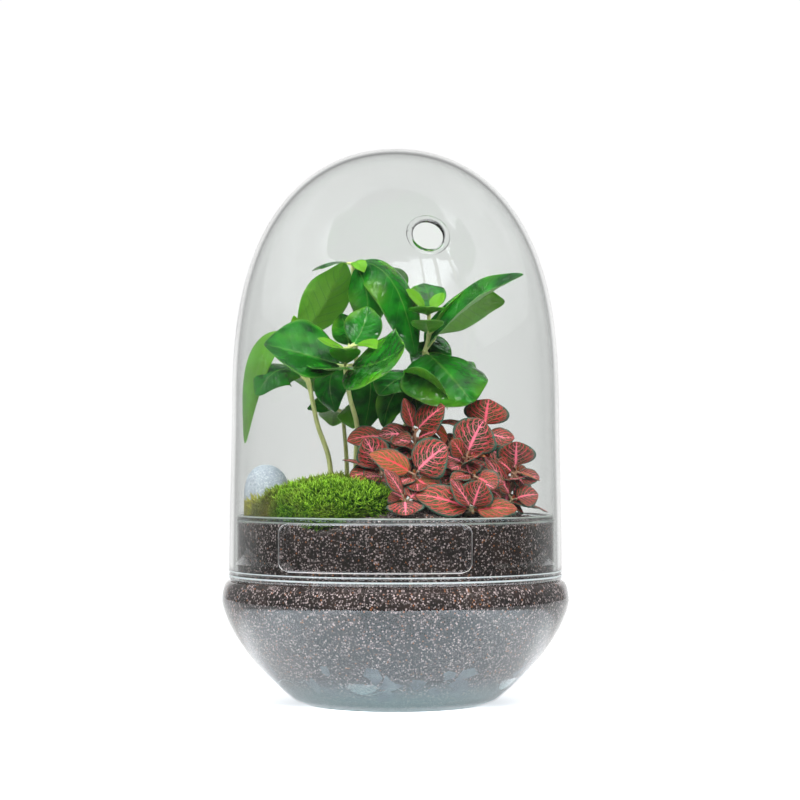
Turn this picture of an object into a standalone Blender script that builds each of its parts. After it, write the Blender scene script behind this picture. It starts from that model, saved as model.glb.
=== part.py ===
"""Plant terrarium: a glass bowl of soil, planted with coffee seedlings, a nerve plant and moss,
under a glass dome with a vent hole. +Z is up, the viewer stands at -Y, and the origin is the centre
of the bowl's foot. Every size is in millimetres until a mesh is made."""

import math
import random

import bmesh
import bpy
from mathutils import Matrix, Vector

MM = 0.001
GAP = 0.3  # between pieces that touch
WALL_GAP = 0.35  # between the filling and the faceted glass wall
UP = Vector((0, 0, 1))
FLAT = math.radians(0.5)  # faces that differ by less lie in one plane

# Glass bowl
SECTORS = 32
BELLY_RADIUS = 87.5
BELLY_HEIGHT = 52.0
BELLY_FALL = 74.0  # how far below the belly the wall's curve would close on the axis
BELLY_POWER = 1.5
WALL = 3.4
FLOOR_HEIGHT = 7.0
FOOT_INNER_RADIUS = 39.0
FOOT_OUTER_RADIUS = 45.5
PUNT_RISE = 1.2  # hollow under the foot
SHOULDER_RADIUS = 83.7
LEDGE_HEIGHT = 62.0
SHOULDER_INSIDE = (81.0, 3.1, 6.8)  # centre radius, width and height of the arc under the ledge
NECK_TURN = (79.2, 60.8, 2.0)  # centre radius, centre height and radius of the bend into the neck
NECK_RADIUS = 80.0
NECK_WALL = 2.8
RIM_HEIGHT = 95.0

# Glass dome
DOME_TOP = 280.0
DOME_FOOT_RADIUS = 84.0
DOME_WALL = 2.5
CROWN_RADIUS = 82.9
CROWN_START = 140.0  # height where the straight wall turns into the crown
CROWN_POWER = 2.8
CROWN_ROOT = 0.47
VENT_AZIMUTH = math.radians(13.0)  # right of the front
VENT_HEIGHT = 230.2
VENT_RADIUS = 7.5
VENT_LIP = 1.7  # radius of the fire-polished bead round the vent

# Filling
SOIL_EDGE = 91.0
SOIL_MOUND = 10.0
SOIL_WAVE = 0.7
GRAVEL_LEVEL = 15.0
GRAVEL_WAVES = ((3.2, 5, 0.6), (2.4, 9, 2.0), (1.6, 14, 0.0))  # height, count round the bowl, phase
GRAVEL_SHARES = (0.33, 0.66, 1.0)  # of the way out to the glass
GRAVEL_FOOT_INSET = 7.5
GRAVEL_HEEL = 10.4  # height where the gravel first meets the wall
GRAVEL_DENT = 0.9
SEAM = 0.4  # between the gravel and the soil
SOIL_SIDE_START = 28.0  # height above every crest of the gravel
HOLE_DEPTH = 14.0
STEM_CLEARANCE = 0.35

# Pebble
PEBBLE_CENTRE = Vector((-66.0, 8.0, 104.6))
PEBBLE_RADII = Vector((12.4, 9.0, 15.8))
PEBBLE_TILT = math.radians(-4)
PEBBLE_LUMPS = 0.035

# Moss
MOSS_CENTRE = Vector((-35.0, -37.0, 0))
MOSS_RADII = (34.5, 27.5)
MOSS_HEIGHT = 11.0
TUFT_CENTRE = Vector((-69.0, -13.5, 0))
TUFT_RADII = (5.0, 5.5)
TUFT_HEIGHT = 4.0
MOSS_SEAT = 0.6
MOSS_EDGE = 1.5  # height of the cushion's margin
SHOOT_LENGTH = 7.0
SHOOT_SINK = 2.2  # how deep a shoot's root stands in the cushion
MOSS_REACH = 75.8  # how far from the bowl's axis moss may go
SHOOT_BASE = 1.15
CUSHION_SHOOTS = 61
TUFT_SHOOTS = 13

# Leaves
BLADE = 0.7  # thickness
PETIOLE = (0.75, 1.3)  # half width and thickness
TIP_HALF = 0.35
SHORT_LEAF = 16.0  # a coffee leaf narrower than this has fewer stations along its rib
PLAIN_LEAF = 25.0  # one narrower than this has a single face on each side of its rib
SMALL_LEAF = 12.0  # a nerve plant's leaf narrower than this has fewer stations


def clear_scene():
    for obj in list(bpy.data.objects):
        bpy.data.objects.remove(obj)


def material(name, colour, roughness, glass=0.0):
    made = bpy.data.materials.new(name)
    made.use_nodes = True
    shader = made.node_tree.nodes["Principled BSDF"]
    shader.inputs["Base Color"].default_value = (*colour, 1.0)
    shader.inputs["Roughness"].default_value = roughness
    shader.inputs["Metallic"].default_value = 0.0
    shader.inputs["Transmission Weight"].default_value = glass
    return made


def add_object(name, points, faces, finish):
    """One object from points in millimetres, with its faces turned outwards."""
    mesh = bpy.data.meshes.new(name)
    mesh.from_pydata([Vector(p) * MM for p in points], [], faces)
    mesh.materials.append(finish)
    shell = bmesh.new()
    shell.from_mesh(mesh)
    bmesh.ops.triangulate(shell, faces=shell.faces)
    bmesh.ops.recalc_face_normals(shell, faces=shell.faces)
    shell.to_mesh(mesh)
    shell.free()
    mesh.shade_smooth()
    mesh.set_sharp_from_angle(angle=math.radians(40))
    obj = bpy.data.objects.new(name, mesh)
    bpy.context.scene.collection.objects.link(obj)
    return obj


def merge_flat_faces(mesh):
    """Joins the slivers that a Boolean leaves in one plane."""
    shell = bmesh.new()
    shell.from_mesh(mesh)
    bmesh.ops.dissolve_limit(shell, angle_limit=FLAT, verts=shell.verts, edges=shell.edges)
    bmesh.ops.triangulate(shell, faces=shell.faces)
    shell.to_mesh(mesh)
    shell.free()


def apply_boolean(obj, operation, others):
    """Joins others to obj, or cuts them from it, in one Boolean, and removes them."""
    group = bpy.data.collections.new("operands")
    bpy.context.scene.collection.children.link(group)
    for other in others:
        group.objects.link(other)
    boolean = obj.modifiers.new("Boolean", "BOOLEAN")
    boolean.operation = operation
    boolean.operand_type = "COLLECTION"
    boolean.collection = group
    boolean.solver = "EXACT"
    graph = bpy.context.evaluated_depsgraph_get()
    made = bpy.data.meshes.new_from_object(obj.evaluated_get(graph))
    obj.modifiers.remove(boolean)
    merge_flat_faces(made)
    obj.data = made
    for other in others:
        bpy.data.objects.remove(other)
    bpy.data.collections.remove(group)


# Profiles: lists of (radius, height)


def arc(centre, radii, start, end, steps):
    """Points on an ellipse's arc, with its angles in degrees."""
    angles = [math.radians(start + (end - start) * i / steps) for i in range(steps + 1)]
    return [(centre[0] + radii[0] * math.cos(a), centre[1] + radii[1] * math.sin(a)) for a in angles]


def belly_radius(height, inset=0.0):
    """The bowl's outer radius below the shoulder, or a radius inset from it."""
    fall = (BELLY_HEIGHT - height) / BELLY_FALL
    return BELLY_RADIUS * (1 - fall**BELLY_POWER) ** (1 / BELLY_POWER) - inset


def inner_wall(clearance=0.0):
    """The bowl's inner surface from above the floor up to below the rim."""
    belly_heights = (10.0, 16.0, 26.0, 39.0)
    belly = [(belly_radius(h, WALL + clearance), h) for h in belly_heights]
    centre, width, height = SHOULDER_INSIDE
    shoulder = arc((centre, BELLY_HEIGHT), (width - clearance, height - clearance), 0, 90, 2)
    centre, height, radius = NECK_TURN
    turn = arc((centre, height), (radius + clearance, radius + clearance), -100, -170, 1)
    neck = [(NECK_RADIUS - NECK_WALL - clearance, RIM_HEIGHT - NECK_WALL / 2)]
    return belly + shoulder + turn + neck


def bowl_profile():
    punt = [(0, PUNT_RISE), (FOOT_INNER_RADIUS - 3, PUNT_RISE)]
    foot = punt + [(FOOT_INNER_RADIUS, 0), (FOOT_OUTER_RADIUS, 0)]
    heel_heights = (1.2, 6.0, 16.0, 32.0)
    side = [(belly_radius(h), h) for h in heel_heights]
    reach = BELLY_RADIUS - SHOULDER_RADIUS
    shoulder = arc((SHOULDER_RADIUS, BELLY_HEIGHT), (reach, LEDGE_HEIGHT - BELLY_HEIGHT), 0, 90, 3)
    ledge = [(NECK_RADIUS + 1, LEDGE_HEIGHT), (NECK_RADIUS, LEDGE_HEIGHT + 1)]
    half = NECK_WALL / 2
    rim = arc((NECK_RADIUS - half, RIM_HEIGHT - half), (half, half), 0, 180, 4)
    inside = inner_wall()[-2::-1]
    floor = [(belly_radius(FLOOR_HEIGHT, WALL + 6), FLOOR_HEIGHT), (0, FLOOR_HEIGHT - 0.8)]
    return foot + side + shoulder + ledge + rim + inside + floor


def crown_point(turn):
    """The dome's outer surface at a turn in degrees, from 0 where the crown starts to 90 at the top."""
    rise = math.sin(math.radians(turn))
    radius = CROWN_RADIUS * max(0.0, 1 - rise**CROWN_POWER) ** CROWN_ROOT
    return radius, CROWN_START + (DOME_TOP - CROWN_START) * rise


def inset(profile, distance):
    """The profile moved towards the axis side by a distance, point by point along its normal."""
    moved = []
    for i, (radius, height) in enumerate(profile):
        before = profile[max(i - 1, 0)]
        after = profile[min(i + 1, len(profile) - 1)]
        along = Vector((after[0] - before[0], after[1] - before[1])).normalized()
        moved.append((max(radius - along.y * distance, 0.0), height + along.x * distance))
    return moved


def dome_profile():
    foot = LEDGE_HEIGHT + GAP
    half = DOME_WALL / 2
    wall = [(DOME_FOOT_RADIUS, foot + half), (DOME_FOOT_RADIUS - 0.4, 100.0)]
    outside = wall + [crown_point(turn) for turn in (0, 18, 34, 49, 62, 73, 82)]
    inside = inset(outside, DOME_WALL)[1:]
    bead = arc((DOME_FOOT_RADIUS - half, foot + half), (half, half), 0, -180, 4)
    return [(0, DOME_TOP - DOME_WALL)] + inside[::-1] + bead[::-1] + outside[1:] + [(0, DOME_TOP)]


def turned(name, profile, finish, sectors=SECTORS):
    """A closed body of revolution, from a profile that starts and ends on the axis."""
    points = [(0, 0, profile[0][1])]
    for radius, height in profile[1:-1]:
        for k in range(sectors):
            a = 2 * math.pi * k / sectors
            points.append((radius * math.cos(a), radius * math.sin(a), height))
    points.append((0, 0, profile[-1][1]))
    last = len(points) - 1
    rings = len(profile) - 2
    faces = []
    for k in range(sectors):
        n = (k + 1) % sectors
        faces.append((0, 1 + n, 1 + k))
        for j in range(rings - 1):
            low, high = 1 + j * sectors, 1 + (j + 1) * sectors
            faces.append((low + k, low + n, high + n, high + k))
        top = 1 + (rings - 1) * sectors
        faces.append((last, top + k, top + n))
    return add_object(name, points, faces, finish)


# Glass


def vent_frame():
    """Where the vent's axis crosses the dome's wall, and the axis, pointing outwards."""
    turn = math.degrees(math.asin((VENT_HEIGHT - CROWN_START) / (DOME_TOP - CROWN_START)))
    low, high = crown_point(turn - 1), crown_point(turn + 1)
    along = Vector((high[0] - low[0], high[1] - low[1])).normalized()
    outward = Vector((math.sin(VENT_AZIMUTH), -math.cos(VENT_AZIMUTH), 0))
    radius = crown_point(turn)[0]
    axis = outward * along.y - UP * along.x
    middle = outward * radius + UP * VENT_HEIGHT - axis * DOME_WALL / 2
    return middle, axis


def ring_points(centre, axis, radius, count):
    """Points of a circle round an axis."""
    across = axis.orthogonal().normalized()
    other = axis.cross(across)
    angles = [2 * math.pi * k / count for k in range(count)]
    return [centre + (across * math.cos(a) + other * math.sin(a)) * radius for a in angles]


def torus(name, centre, axis, radius, bead, finish, around=20, sides=6):
    points = []
    for hub in ring_points(Vector(), axis, 1.0, around):
        for k in range(sides):
            a = 2 * math.pi * k / sides
            points.append(centre + hub * (radius + bead * math.cos(a)) + axis * bead * math.sin(a))
    faces = []
    for i in range(around):
        for k in range(sides):
            here, there = i * sides, (i + 1) % around * sides
            n = (k + 1) % sides
            faces.append((here + k, here + n, there + n, there + k))
    return add_object(name, points, faces, finish)


def rod(name, start, end, radius, finish, sides=6):
    """A straight round bar."""
    axis = (end - start).normalized()
    points = ring_points(start, axis, radius, sides) + ring_points(end, axis, radius, sides)
    faces = [tuple(range(sides)), tuple(range(sides, 2 * sides))]
    faces += [(k, (k + 1) % sides, sides + (k + 1) % sides, sides + k) for k in range(sides)]
    return add_object(name, points, faces, finish)


def make_bowl(finish):
    turned("bowl", bowl_profile(), finish)


def make_dome(finish):
    dome = turned("dome", dome_profile(), finish)
    middle, axis = vent_frame()
    lip = torus("lip", middle, axis, VENT_RADIUS + VENT_LIP * 0.8, VENT_LIP, finish)
    apply_boolean(dome, "UNION", [lip])
    reach = 12.0
    cutter = rod("cutter", middle - axis * reach, middle + axis * reach, VENT_RADIUS, finish, 20)
    apply_boolean(dome, "DIFFERENCE", [cutter])


# Filling


def soil_height(x, y):
    """The soil's top: a low mound with slow waves."""
    away = (x * x + y * y) / (NECK_RADIUS * NECK_RADIUS)
    return SOIL_EDGE + SOIL_MOUND * max(0.0, 1 - away) + SOIL_WAVE * math.sin(x / 13 + 1) * math.sin(y / 11)


def gravel_height(angle, share):
    """The top of the gravel, at an angle and a share of the way out to the glass."""
    waves = sum(height * math.sin(count * angle + phase) for height, count, phase in GRAVEL_WAVES)
    return GRAVEL_LEVEL + waves * (0.35 + 0.65 * share)


def wall_radius(height):
    """The filling's radius at a height below the bowl's belly."""
    return belly_radius(height, WALL + WALL_GAP)


def layered(name, columns, finish):
    """A closed body from one column of points for each sector, all running from axis to axis."""
    sectors, rings = len(columns), len(columns[0]) - 2
    points = [columns[0][0]]
    for j in range(1, rings + 1):
        points += [column[j] for column in columns]
    points.append(columns[0][-1])
    last = len(points) - 1
    faces = []
    for k in range(sectors):
        n = (k + 1) % sectors
        faces.append((0, 1 + n, 1 + k))
        for j in range(rings - 1):
            low, high = 1 + j * sectors, 1 + (j + 1) * sectors
            faces.append((low + k, low + n, high + n))
            faces.append((low + k, high + n, high + k))
        top = 1 + (rings - 1) * sectors
        faces.append((last, top + k, top + n))
    return add_object(name, points, faces, finish)


def gravel_top(angle, lift):
    """Points from near the axis out to the glass, along the top of the gravel."""
    rim_height = gravel_height(angle, 1.0) + lift
    rim = wall_radius(rim_height)
    heights = [gravel_height(angle, share) + lift for share in GRAVEL_SHARES]
    return [(rim * share, height) for share, height in zip(GRAVEL_SHARES, heights)]


def swung(profile, angle):
    """The profile's points, turned round the axis by an angle."""
    c, s = math.cos(angle), math.sin(angle)
    return [Vector((radius * c, radius * s, height)) for radius, height in profile]


def make_gravel(finish):
    """The drainage layer: lumps press against the glass and stand up into the soil."""
    foot = belly_radius(FLOOR_HEIGHT, WALL + GRAVEL_FOOT_INSET)
    columns = []
    for k in range(SECTORS):
        angle = 2 * math.pi * k / SECTORS
        top = gravel_top(angle, 0.0)
        dent = GRAVEL_DENT * (1 + math.sin(13 * angle))
        middle = (GRAVEL_HEEL + top[-1][1]) / 2
        heel = (wall_radius(GRAVEL_HEEL) - GRAVEL_DENT, GRAVEL_HEEL)
        side = [(foot, FLOOR_HEIGHT + GAP), heel, (wall_radius(middle) - dent, middle)]
        profile = [(0, FLOOR_HEIGHT + GAP)] + side + top[::-1] + [(0, GRAVEL_LEVEL)]
        columns.append(swung(profile, angle))
    layered("drainage_gravel", columns, finish)


def make_soil(finish, stems, pebble_room):
    """The soil fills the bowl from the gravel to below the rim, with a hole for each stem."""
    wall = [point for point in inner_wall(WALL_GAP) if point[1] > SOIL_SIDE_START]
    columns = []
    for k in range(SECTORS):
        angle = 2 * math.pi * k / SECTORS
        bottom = gravel_top(angle, SEAM)
        side = wall[:-1]
        edge = wall[-1][0]
        top = []
        for share in (1.0, 0.8, 0.6, 0.4, 0.2):
            x, y = edge * share * math.cos(angle), edge * share * math.sin(angle)
            top.append((edge * share, soil_height(x, y)))
        profile = [(0, GRAVEL_LEVEL + SEAM)] + bottom + side + top + [(0, soil_height(0, 0))]
        columns.append(swung(profile[::-1], angle))
    soil = layered("soil", columns, finish)
    cutters = [pebble_room]
    for (x, y), radius in stems:
        bottom = soil_height(x, y) - HOLE_DEPTH - GAP
        start, end = Vector((x, y, bottom)), Vector((x, y, bottom + 2 * HOLE_DEPTH))
        cutters.append(rod("hole", start, end, radius + STEM_CLEARANCE, finish))
    apply_boolean(soil, "DIFFERENCE", cutters)


def pebble_shape(name, centre, radii, finish, segments=16, rings=8):
    shell = bmesh.new()
    bmesh.ops.create_uvsphere(shell, u_segments=segments, v_segments=rings, radius=1.0)
    turn = Matrix.Rotation(PEBBLE_TILT, 3, "Y")
    points = []
    for v in shell.verts:
        lumpy = 1 + PEBBLE_LUMPS * math.sin(3.1 * v.co.x + 1) * math.cos(2.3 * v.co.z)
        points.append(centre + turn @ Vector(a * b * lumpy for a, b in zip(v.co, radii)))
    faces = [tuple(v.index for v in face.verts) for face in shell.faces]
    shell.free()
    return add_object(name, points, faces, finish)


# Moss


def moss_height(share, height):
    return height * max(0.0, 1 - share**2.6) ** 0.6


def moss_point(centre, radii, share, angle):
    """A place on the soil, held back from the glass."""
    x = centre.x + radii[0] * share * math.cos(angle)
    y = centre.y + radii[1] * share * math.sin(angle)
    keep = min(1.0, (MOSS_REACH - 2.5 * (1 - share)) / math.hypot(x, y))
    return x * keep, y * keep


def moss_core(name, centre, radii, height, finish, sectors=18, rings=3):
    """A low mound whose underside follows the soil."""
    columns = []
    for k in range(sectors):
        a = 2 * math.pi * k / sectors
        column = []
        for j in list(range(rings + 1)) + list(range(rings - 1, -1, -1)):
            share = j / rings
            x, y = moss_point(centre, radii, share, a)
            seat = soil_height(x, y) + MOSS_SEAT
            top = len(column) > rings
            column.append(Vector((x, y, seat + (moss_height(share, height) if top else 0))))
        edge = column[rings].copy()
        edge.z += MOSS_EDGE
        column.insert(rings + 1, edge)
        columns.append(column)
    return layered(name, columns, finish)


def spike(name, root, tip, radius, finish):
    """A three-sided shoot of moss."""
    points = ring_points(root, (tip - root).normalized(), radius, 3) + [tip]
    return add_object(name, points, [(0, 1, 2), (0, 1, 3), (1, 2, 3), (2, 0, 3)], finish)


def moss_shoots(centre, radii, height, count, length, rng, finish, keep_clear):
    """Shoots on a sunflower spiral, leaning outwards, left out where they would meet a neighbour."""
    made = []
    for i in range(count):
        share = math.sqrt((i + 0.5) / count) * 0.92
        a = i * math.pi * (3 - math.sqrt(5))
        x, y = moss_point(centre, radii, share, a)
        out = Vector((math.cos(a) * share, math.sin(a) * share, 0))
        lean = out * 0.75 + UP + Vector((rng.uniform(-0.3, 0.3), rng.uniform(-0.3, 0.3), 0))
        size = length * rng.uniform(0.75, 1.15)
        sunk = min(SHOOT_SINK, moss_height(share, height) - 0.5)
        root = Vector((x, y, soil_height(x, y) + MOSS_SEAT + moss_height(share, height) - sunk))
        tip = root + lean.normalized() * (size + sunk)
        if keep_clear(tip):
            made.append(spike("shoot", root, tip, SHOOT_BASE, finish))
    return made


# Stems and blades


def catmull(points, steps):
    """A smooth curve through the points, with steps to each span."""
    ends = [points[0] * 2 - points[1]] + points + [points[-1] * 2 - points[-2]]
    curve = []
    for i in range(1, len(ends) - 2):
        a, b, c, d = ends[i - 1 : i + 3]
        for k in range(steps):
            t = k / steps
            bent = (a * 2 - b * 5 + c * 4 - d) * t * t + (b * 3 - a - c * 3 + d) * t**3
            curve.append((b * 2 + (c - a) * t + bent) / 2)
    return curve + [points[-1]]


def tube(name, path, radii, finish, sides=6):
    """A closed round tube along a path, with a radius at each point."""
    points, faces = [], []
    across = (path[1] - path[0]).orthogonal().normalized()
    for i, centre in enumerate(path):
        along = (path[min(i + 1, len(path) - 1)] - path[max(i - 1, 0)]).normalized()
        across = (across - along * across.dot(along)).normalized()
        other = along.cross(across)
        for k in range(sides):
            a = 2 * math.pi * k / sides
            points.append(centre + (across * math.cos(a) + other * math.sin(a)) * radii[i])
    for i in range(len(path) - 1):
        for k in range(sides):
            n = (k + 1) % sides
            faces.append((i * sides + k, i * sides + n, (i + 1) * sides + n, (i + 1) * sides + k))
    last = (len(path) - 1) * sides
    faces += [tuple(range(sides)), tuple(range(last, last + sides))]
    return add_object(name, points, faces, finish)


def bezier(base, control, tip, t):
    return base * (1 - t) ** 2 + control * 2 * t * (1 - t) + tip * t * t


def coffee_outline(share):
    """Half width along a coffee leaf, as a share of its widest: an oval with a short tip."""
    return math.sin(math.pi * share**0.92) ** 0.56


def nerve_outline(share):
    """Half width along a nerve plant's leaf: egg-shaped, broadest below the middle."""
    return math.sin(math.pi * share**0.8) ** 0.6


def rib_shares(stations, stalk):
    """Shares of the rib where the blade is measured, closer together towards both of its ends."""
    opened = [(1 - math.cos(math.pi * i / stations)) / 2 for i in range(stations + 1)]
    return [0.0] + [stalk + (1 - stalk) * share for share in opened]


def blade_row(rib, share, opened, width, face, fold, wave, outline, across):
    """One row of points across a blade, each with the direction that its thickness goes in."""
    along = (rib(share + 0.02) - rib(share - 0.02)).normalized()
    normal = (face - along * face.dot(along)).normalized()
    side = along.cross(normal)
    least = PETIOLE[0] if opened < 0.5 else TIP_HALF
    half = max(least, width / 2 * outline(opened))
    rise, spread = math.sin(fold), math.cos(fold)
    row = []
    for j in range(across + 1):
        s = 2 * j / across - 1
        ripple = wave * math.sin(9.5 * share + (1.7 if s > 0 else 0)) * s * s * min(1, half / 4)
        point = rib(share) + side * half * s * spread + normal * (half * abs(s) * rise + ripple)
        lean = rise * ((s > 0) - (s < 0))
        row.append((point, (normal * spread - side * lean).normalized()))
    return row


def blade(name, base, middle, tip, width, face, fold, wave, outline, stalk, finish, stations, across):
    """A leaf as one closed body. Its rib runs from base through middle to tip, its upper side looks
    along face, its halves rise from the rib by fold degrees, and its margins wave."""
    control = middle * 2 - (base + tip) / 2
    length = (tip - base).length
    stalk = min(0.25, stalk / length)
    points = []
    shares = rib_shares(stations, stalk)
    for share in shares:
        opened = min(max(0.0, (share - stalk) / (1 - stalk)), 1.0)
        thick = PETIOLE[1] if opened == 0 else BLADE
        shape = (width, face.normalized(), math.radians(fold), wave, outline, across)
        row = blade_row(lambda t: bezier(base, control, tip, t), share, opened, *shape)
        points += [point + out * thick / 2 for point, out in row]
        points += [point - out * thick / 2 for point, out in row]
    wide, faces = across + 1, []
    for i in range(len(shares) - 1):
        here, there = 2 * i * wide, 2 * (i + 1) * wide
        for j in range(across):
            for layer in (0, wide):
                a, b = here + layer + j, there + layer + j
                faces += [(a, a + 1, b + 1), (a, b + 1, b)]
        for j in (0, across):
            a, b = here + j, there + j
            faces += [(a, a + wide, b + wide), (a, b + wide, b)]
    for start in (0, 2 * (len(shares) - 1) * wide):
        for j in range(across):
            a = start + j
            faces += [(a, a + 1, a + 1 + wide), (a, a + 1 + wide, a + wide)]
    return add_object(name, points, faces, finish)


def stem_path(x, y, above, steps):
    """A stem's points: straight up out of its hole, and on along a smooth curve."""
    ground = soil_height(x, y)
    straight = [Vector((x, y, ground - HOLE_DEPTH))]
    return straight + catmull([Vector((x, y, ground + 2 * GAP))] + above, steps)


def leaf_root(node, middle, turn):
    """Where a leaf's stalk starts: just past the stem's axis, by a little more for each leaf."""
    return node - (middle - node).normalized() * (0.2 + 0.07 * turn)


# Coffee seedlings. Each stem is a list of points, and each leaf is
# (stem point, middle of its rib, tip, width, face, fold, wave).

COFFEE = {
    "coffee_front": {
        "stem": [
            (-20.5, 3, 103.5), (-20, 1, 125), (-19.5, -4, 140),
            (-23, -10, 154), (-25, -14, 169), (-23, -14, 178.5),
        ],
        "leaves": [
            (4, (-43.5, -18, 174.5), (-65, -22, 180), 46, (0.05, -0.64, 0.77), 18, 1.0),
            (4, (-9, -32, 170), (4.5, -45, 178), 44, (-0.35, -0.62, 0.7), 14, 0.8),
            (5, (-17, -10, 187.5), (-14, -5, 200), 20, (0.05, -0.88, 0.47), 12, 0.5),
            (5, (-25, 2, 187.5), (-28, 13, 197.5), 15, (-0.2, -0.7, 0.68), 6, 0.5),
            (5, (-30.5, -19, 179.5), (-38.5, -22, 183), 9.5, (0.15, -0.5, 0.85), 16, 0.0),
            (5, (-14, -19, 180.5), (-6, -22, 177), 10, (0.0, -0.5, 0.86), 14, 0.0),
            (4, (-25, -24, 173.5), (-24.5, -35, 177), 17, (0.0, 0.5, 0.87), 24, 0.0),
            (4, (-31, -31, 167), (-35, -45, 167), 24.5, (0.0, -0.25, 0.97), 12, 0.6),
        ],
    },
    "coffee_left": {
        "stem": [
            (-32.5, 9, 107), (-34, 9, 122.5), (-40, 10, 140.5),
            (-44.5, 10, 161.5), (-49, 11, 178), (-50.5, 12, 185),
        ],
        "leaves": [
            (3, (-58.5, 6, 168.5), (-70, -4, 155), 24, (-0.1, -0.6, 0.79), -8, 1.0),
            (4, (-67, 9, 178.5), (-77, 2, 131), 14, (-0.15, -0.85, 0.5), 16, 0.8),
            (5, (-36.5, 8, 202.5), (-26.5, -3.5, 222.5), 26, (-0.35, 0.85, 0.4), 14, 0.8),
            (5, (-51, 12, 189.5), (-52.5, 12, 196.5), 6, (0.0, -0.5, 0.87), 10, 0.0),
            (3, (-47.5, 34, 168.5), (-44.5, 56, 159), 26, (0.0, 0.35, 0.94), 8, 1.2),
        ],
    },
    "coffee_tall": {
        "stem": [
            (-17, 18, 103.5), (-17, 18, 125), (-17.5, 17, 151),
            (-20, 16, 171), (-21, 13, 194.5), (-22, 9, 222.5),
        ],
        "leaves": [
            (5, (-2, -1.5, 213), (10, -2, 174.5), 26, (0.35, -0.75, 0.56), -16, 1.0),
            (5, (-15, -2.5, 208.5), (-14.5, 3, 186), 20, (-0.1, -0.9, 0.4), -14, 1.0),
            (5, (-19.5, 3, 223), (-16, -3.5, 217.5), 8, (-0.1, -0.6, 0.8), 12, 0.0),
            (5, (-33, 24, 225), (-44, 33, 221.5), 14, (0.0, -0.3, 0.95), -6, 0.8),
            (3, (-32.5, 8, 166), (-30.5, 3, 147), 22, (-0.4, -0.8, 0.45), -10, 0.8),
            (3, (-13, 9, 163), (-16.5, 4, 137), 23, (0.4, -0.8, 0.45), -10, 0.8),
            (3, (-15.5, 40, 163.5), (-11.5, 62, 153.5), 28, (0.0, 0.3, 0.95), 8, 1.2),
            (5, (-8, 28, 222.5), (3.5, 46, 211), 24, (0.1, 0.35, 0.93), -8, 1.0),
        ],
    },
    "coffee_small": {
        "stem": [(-25.5, 27, 103), (-25.5, 26, 121.5), (-27.5, 23, 147)],
        "leaves": [
            (2, (-37, 23, 151), (-46, 25, 149), 13, (0.0, -0.6, 0.8), 6, 0.6),
            (2, (-25, 14, 148), (-21.5, 8, 138.5), 12, (-0.2, -0.8, 0.5), 4, 0.5),
            (2, (-32, 38, 147.5), (-33.5, 50, 140.5), 17, (0.0, 0.3, 0.95), 6, 0.8),
        ],
    },
    "coffee_right": {
        "stem": [
            (-3, 14, 103.5), (-1, 12, 121.5), (8.5, 8, 150), (12.5, 6, 165.5),
            (15, 5, 177.5), (17, 4, 186), (17, 4, 197.5),
        ],
        "leaves": [
            (6, (17, 14, 206.5), (14.5, 25, 214), 19, (0.05, -0.62, 0.78), 10, 0.6),
            (6, (11.5, 2, 203.5), (5.5, 0, 209), 9.5, (0.1, -0.6, 0.79), 14, 0.0),
            (6, (20.5, 7, 202.5), (24.5, 9, 208), 8, (-0.1, -0.6, 0.79), 14, 0.0),
            (6, (16, -7, 196), (16, -17.5, 199), 20, (0.0, 0.55, 0.83), 22, 0.0),
            (5, (16, -12, 190), (15.5, -28, 191.5), 17, (0.0, 0.25, 0.97), 14, 0.0),
            (4, (34, 4, 198), (65.5, 3, 217), 26, (-0.52, -0.42, 0.74), 34, 0.8),
            (5, (35.5, 18, 200), (57, 23, 204.5), 24, (-0.1, 0.75, 0.65), 6, 1.0),
            (4, (25, -9, 167.5), (38, -20, 151), 50, (0.25, -0.72, 0.64), -10, 1.4),
            (3, (17.5, -9, 160), (27.5, -19, 151.5), 34, (0.05, 0.6, 0.8), 6, 1.0),
            (3, (0.5, -3, 157.5), (-6, -10, 139), 19, (-0.35, -0.8, 0.45), -8, 0.8),
            (3, (2, -6, 163.5), (-8, -15, 155), 24, (-0.2, -0.75, 0.6), 6, 0.8),
            (5, (18, 14, 177.5), (15.5, 16, 163), 22, (0.0, -0.9, 0.43), -8, 0.8),
            (4, (26.5, 32, 172.5), (37.5, 52, 164), 28, (0.1, 0.3, 0.95), 8, 1.2),
        ],
    },
}
COFFEE_STEM_RADII = (1.45, 0.95)  # at the foot and at the top
COFFEE_STALK = 4.0

# Nerve plant. Each shoot is (root, head, leaves), and each leaf is (tip from the head, width, face).

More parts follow.
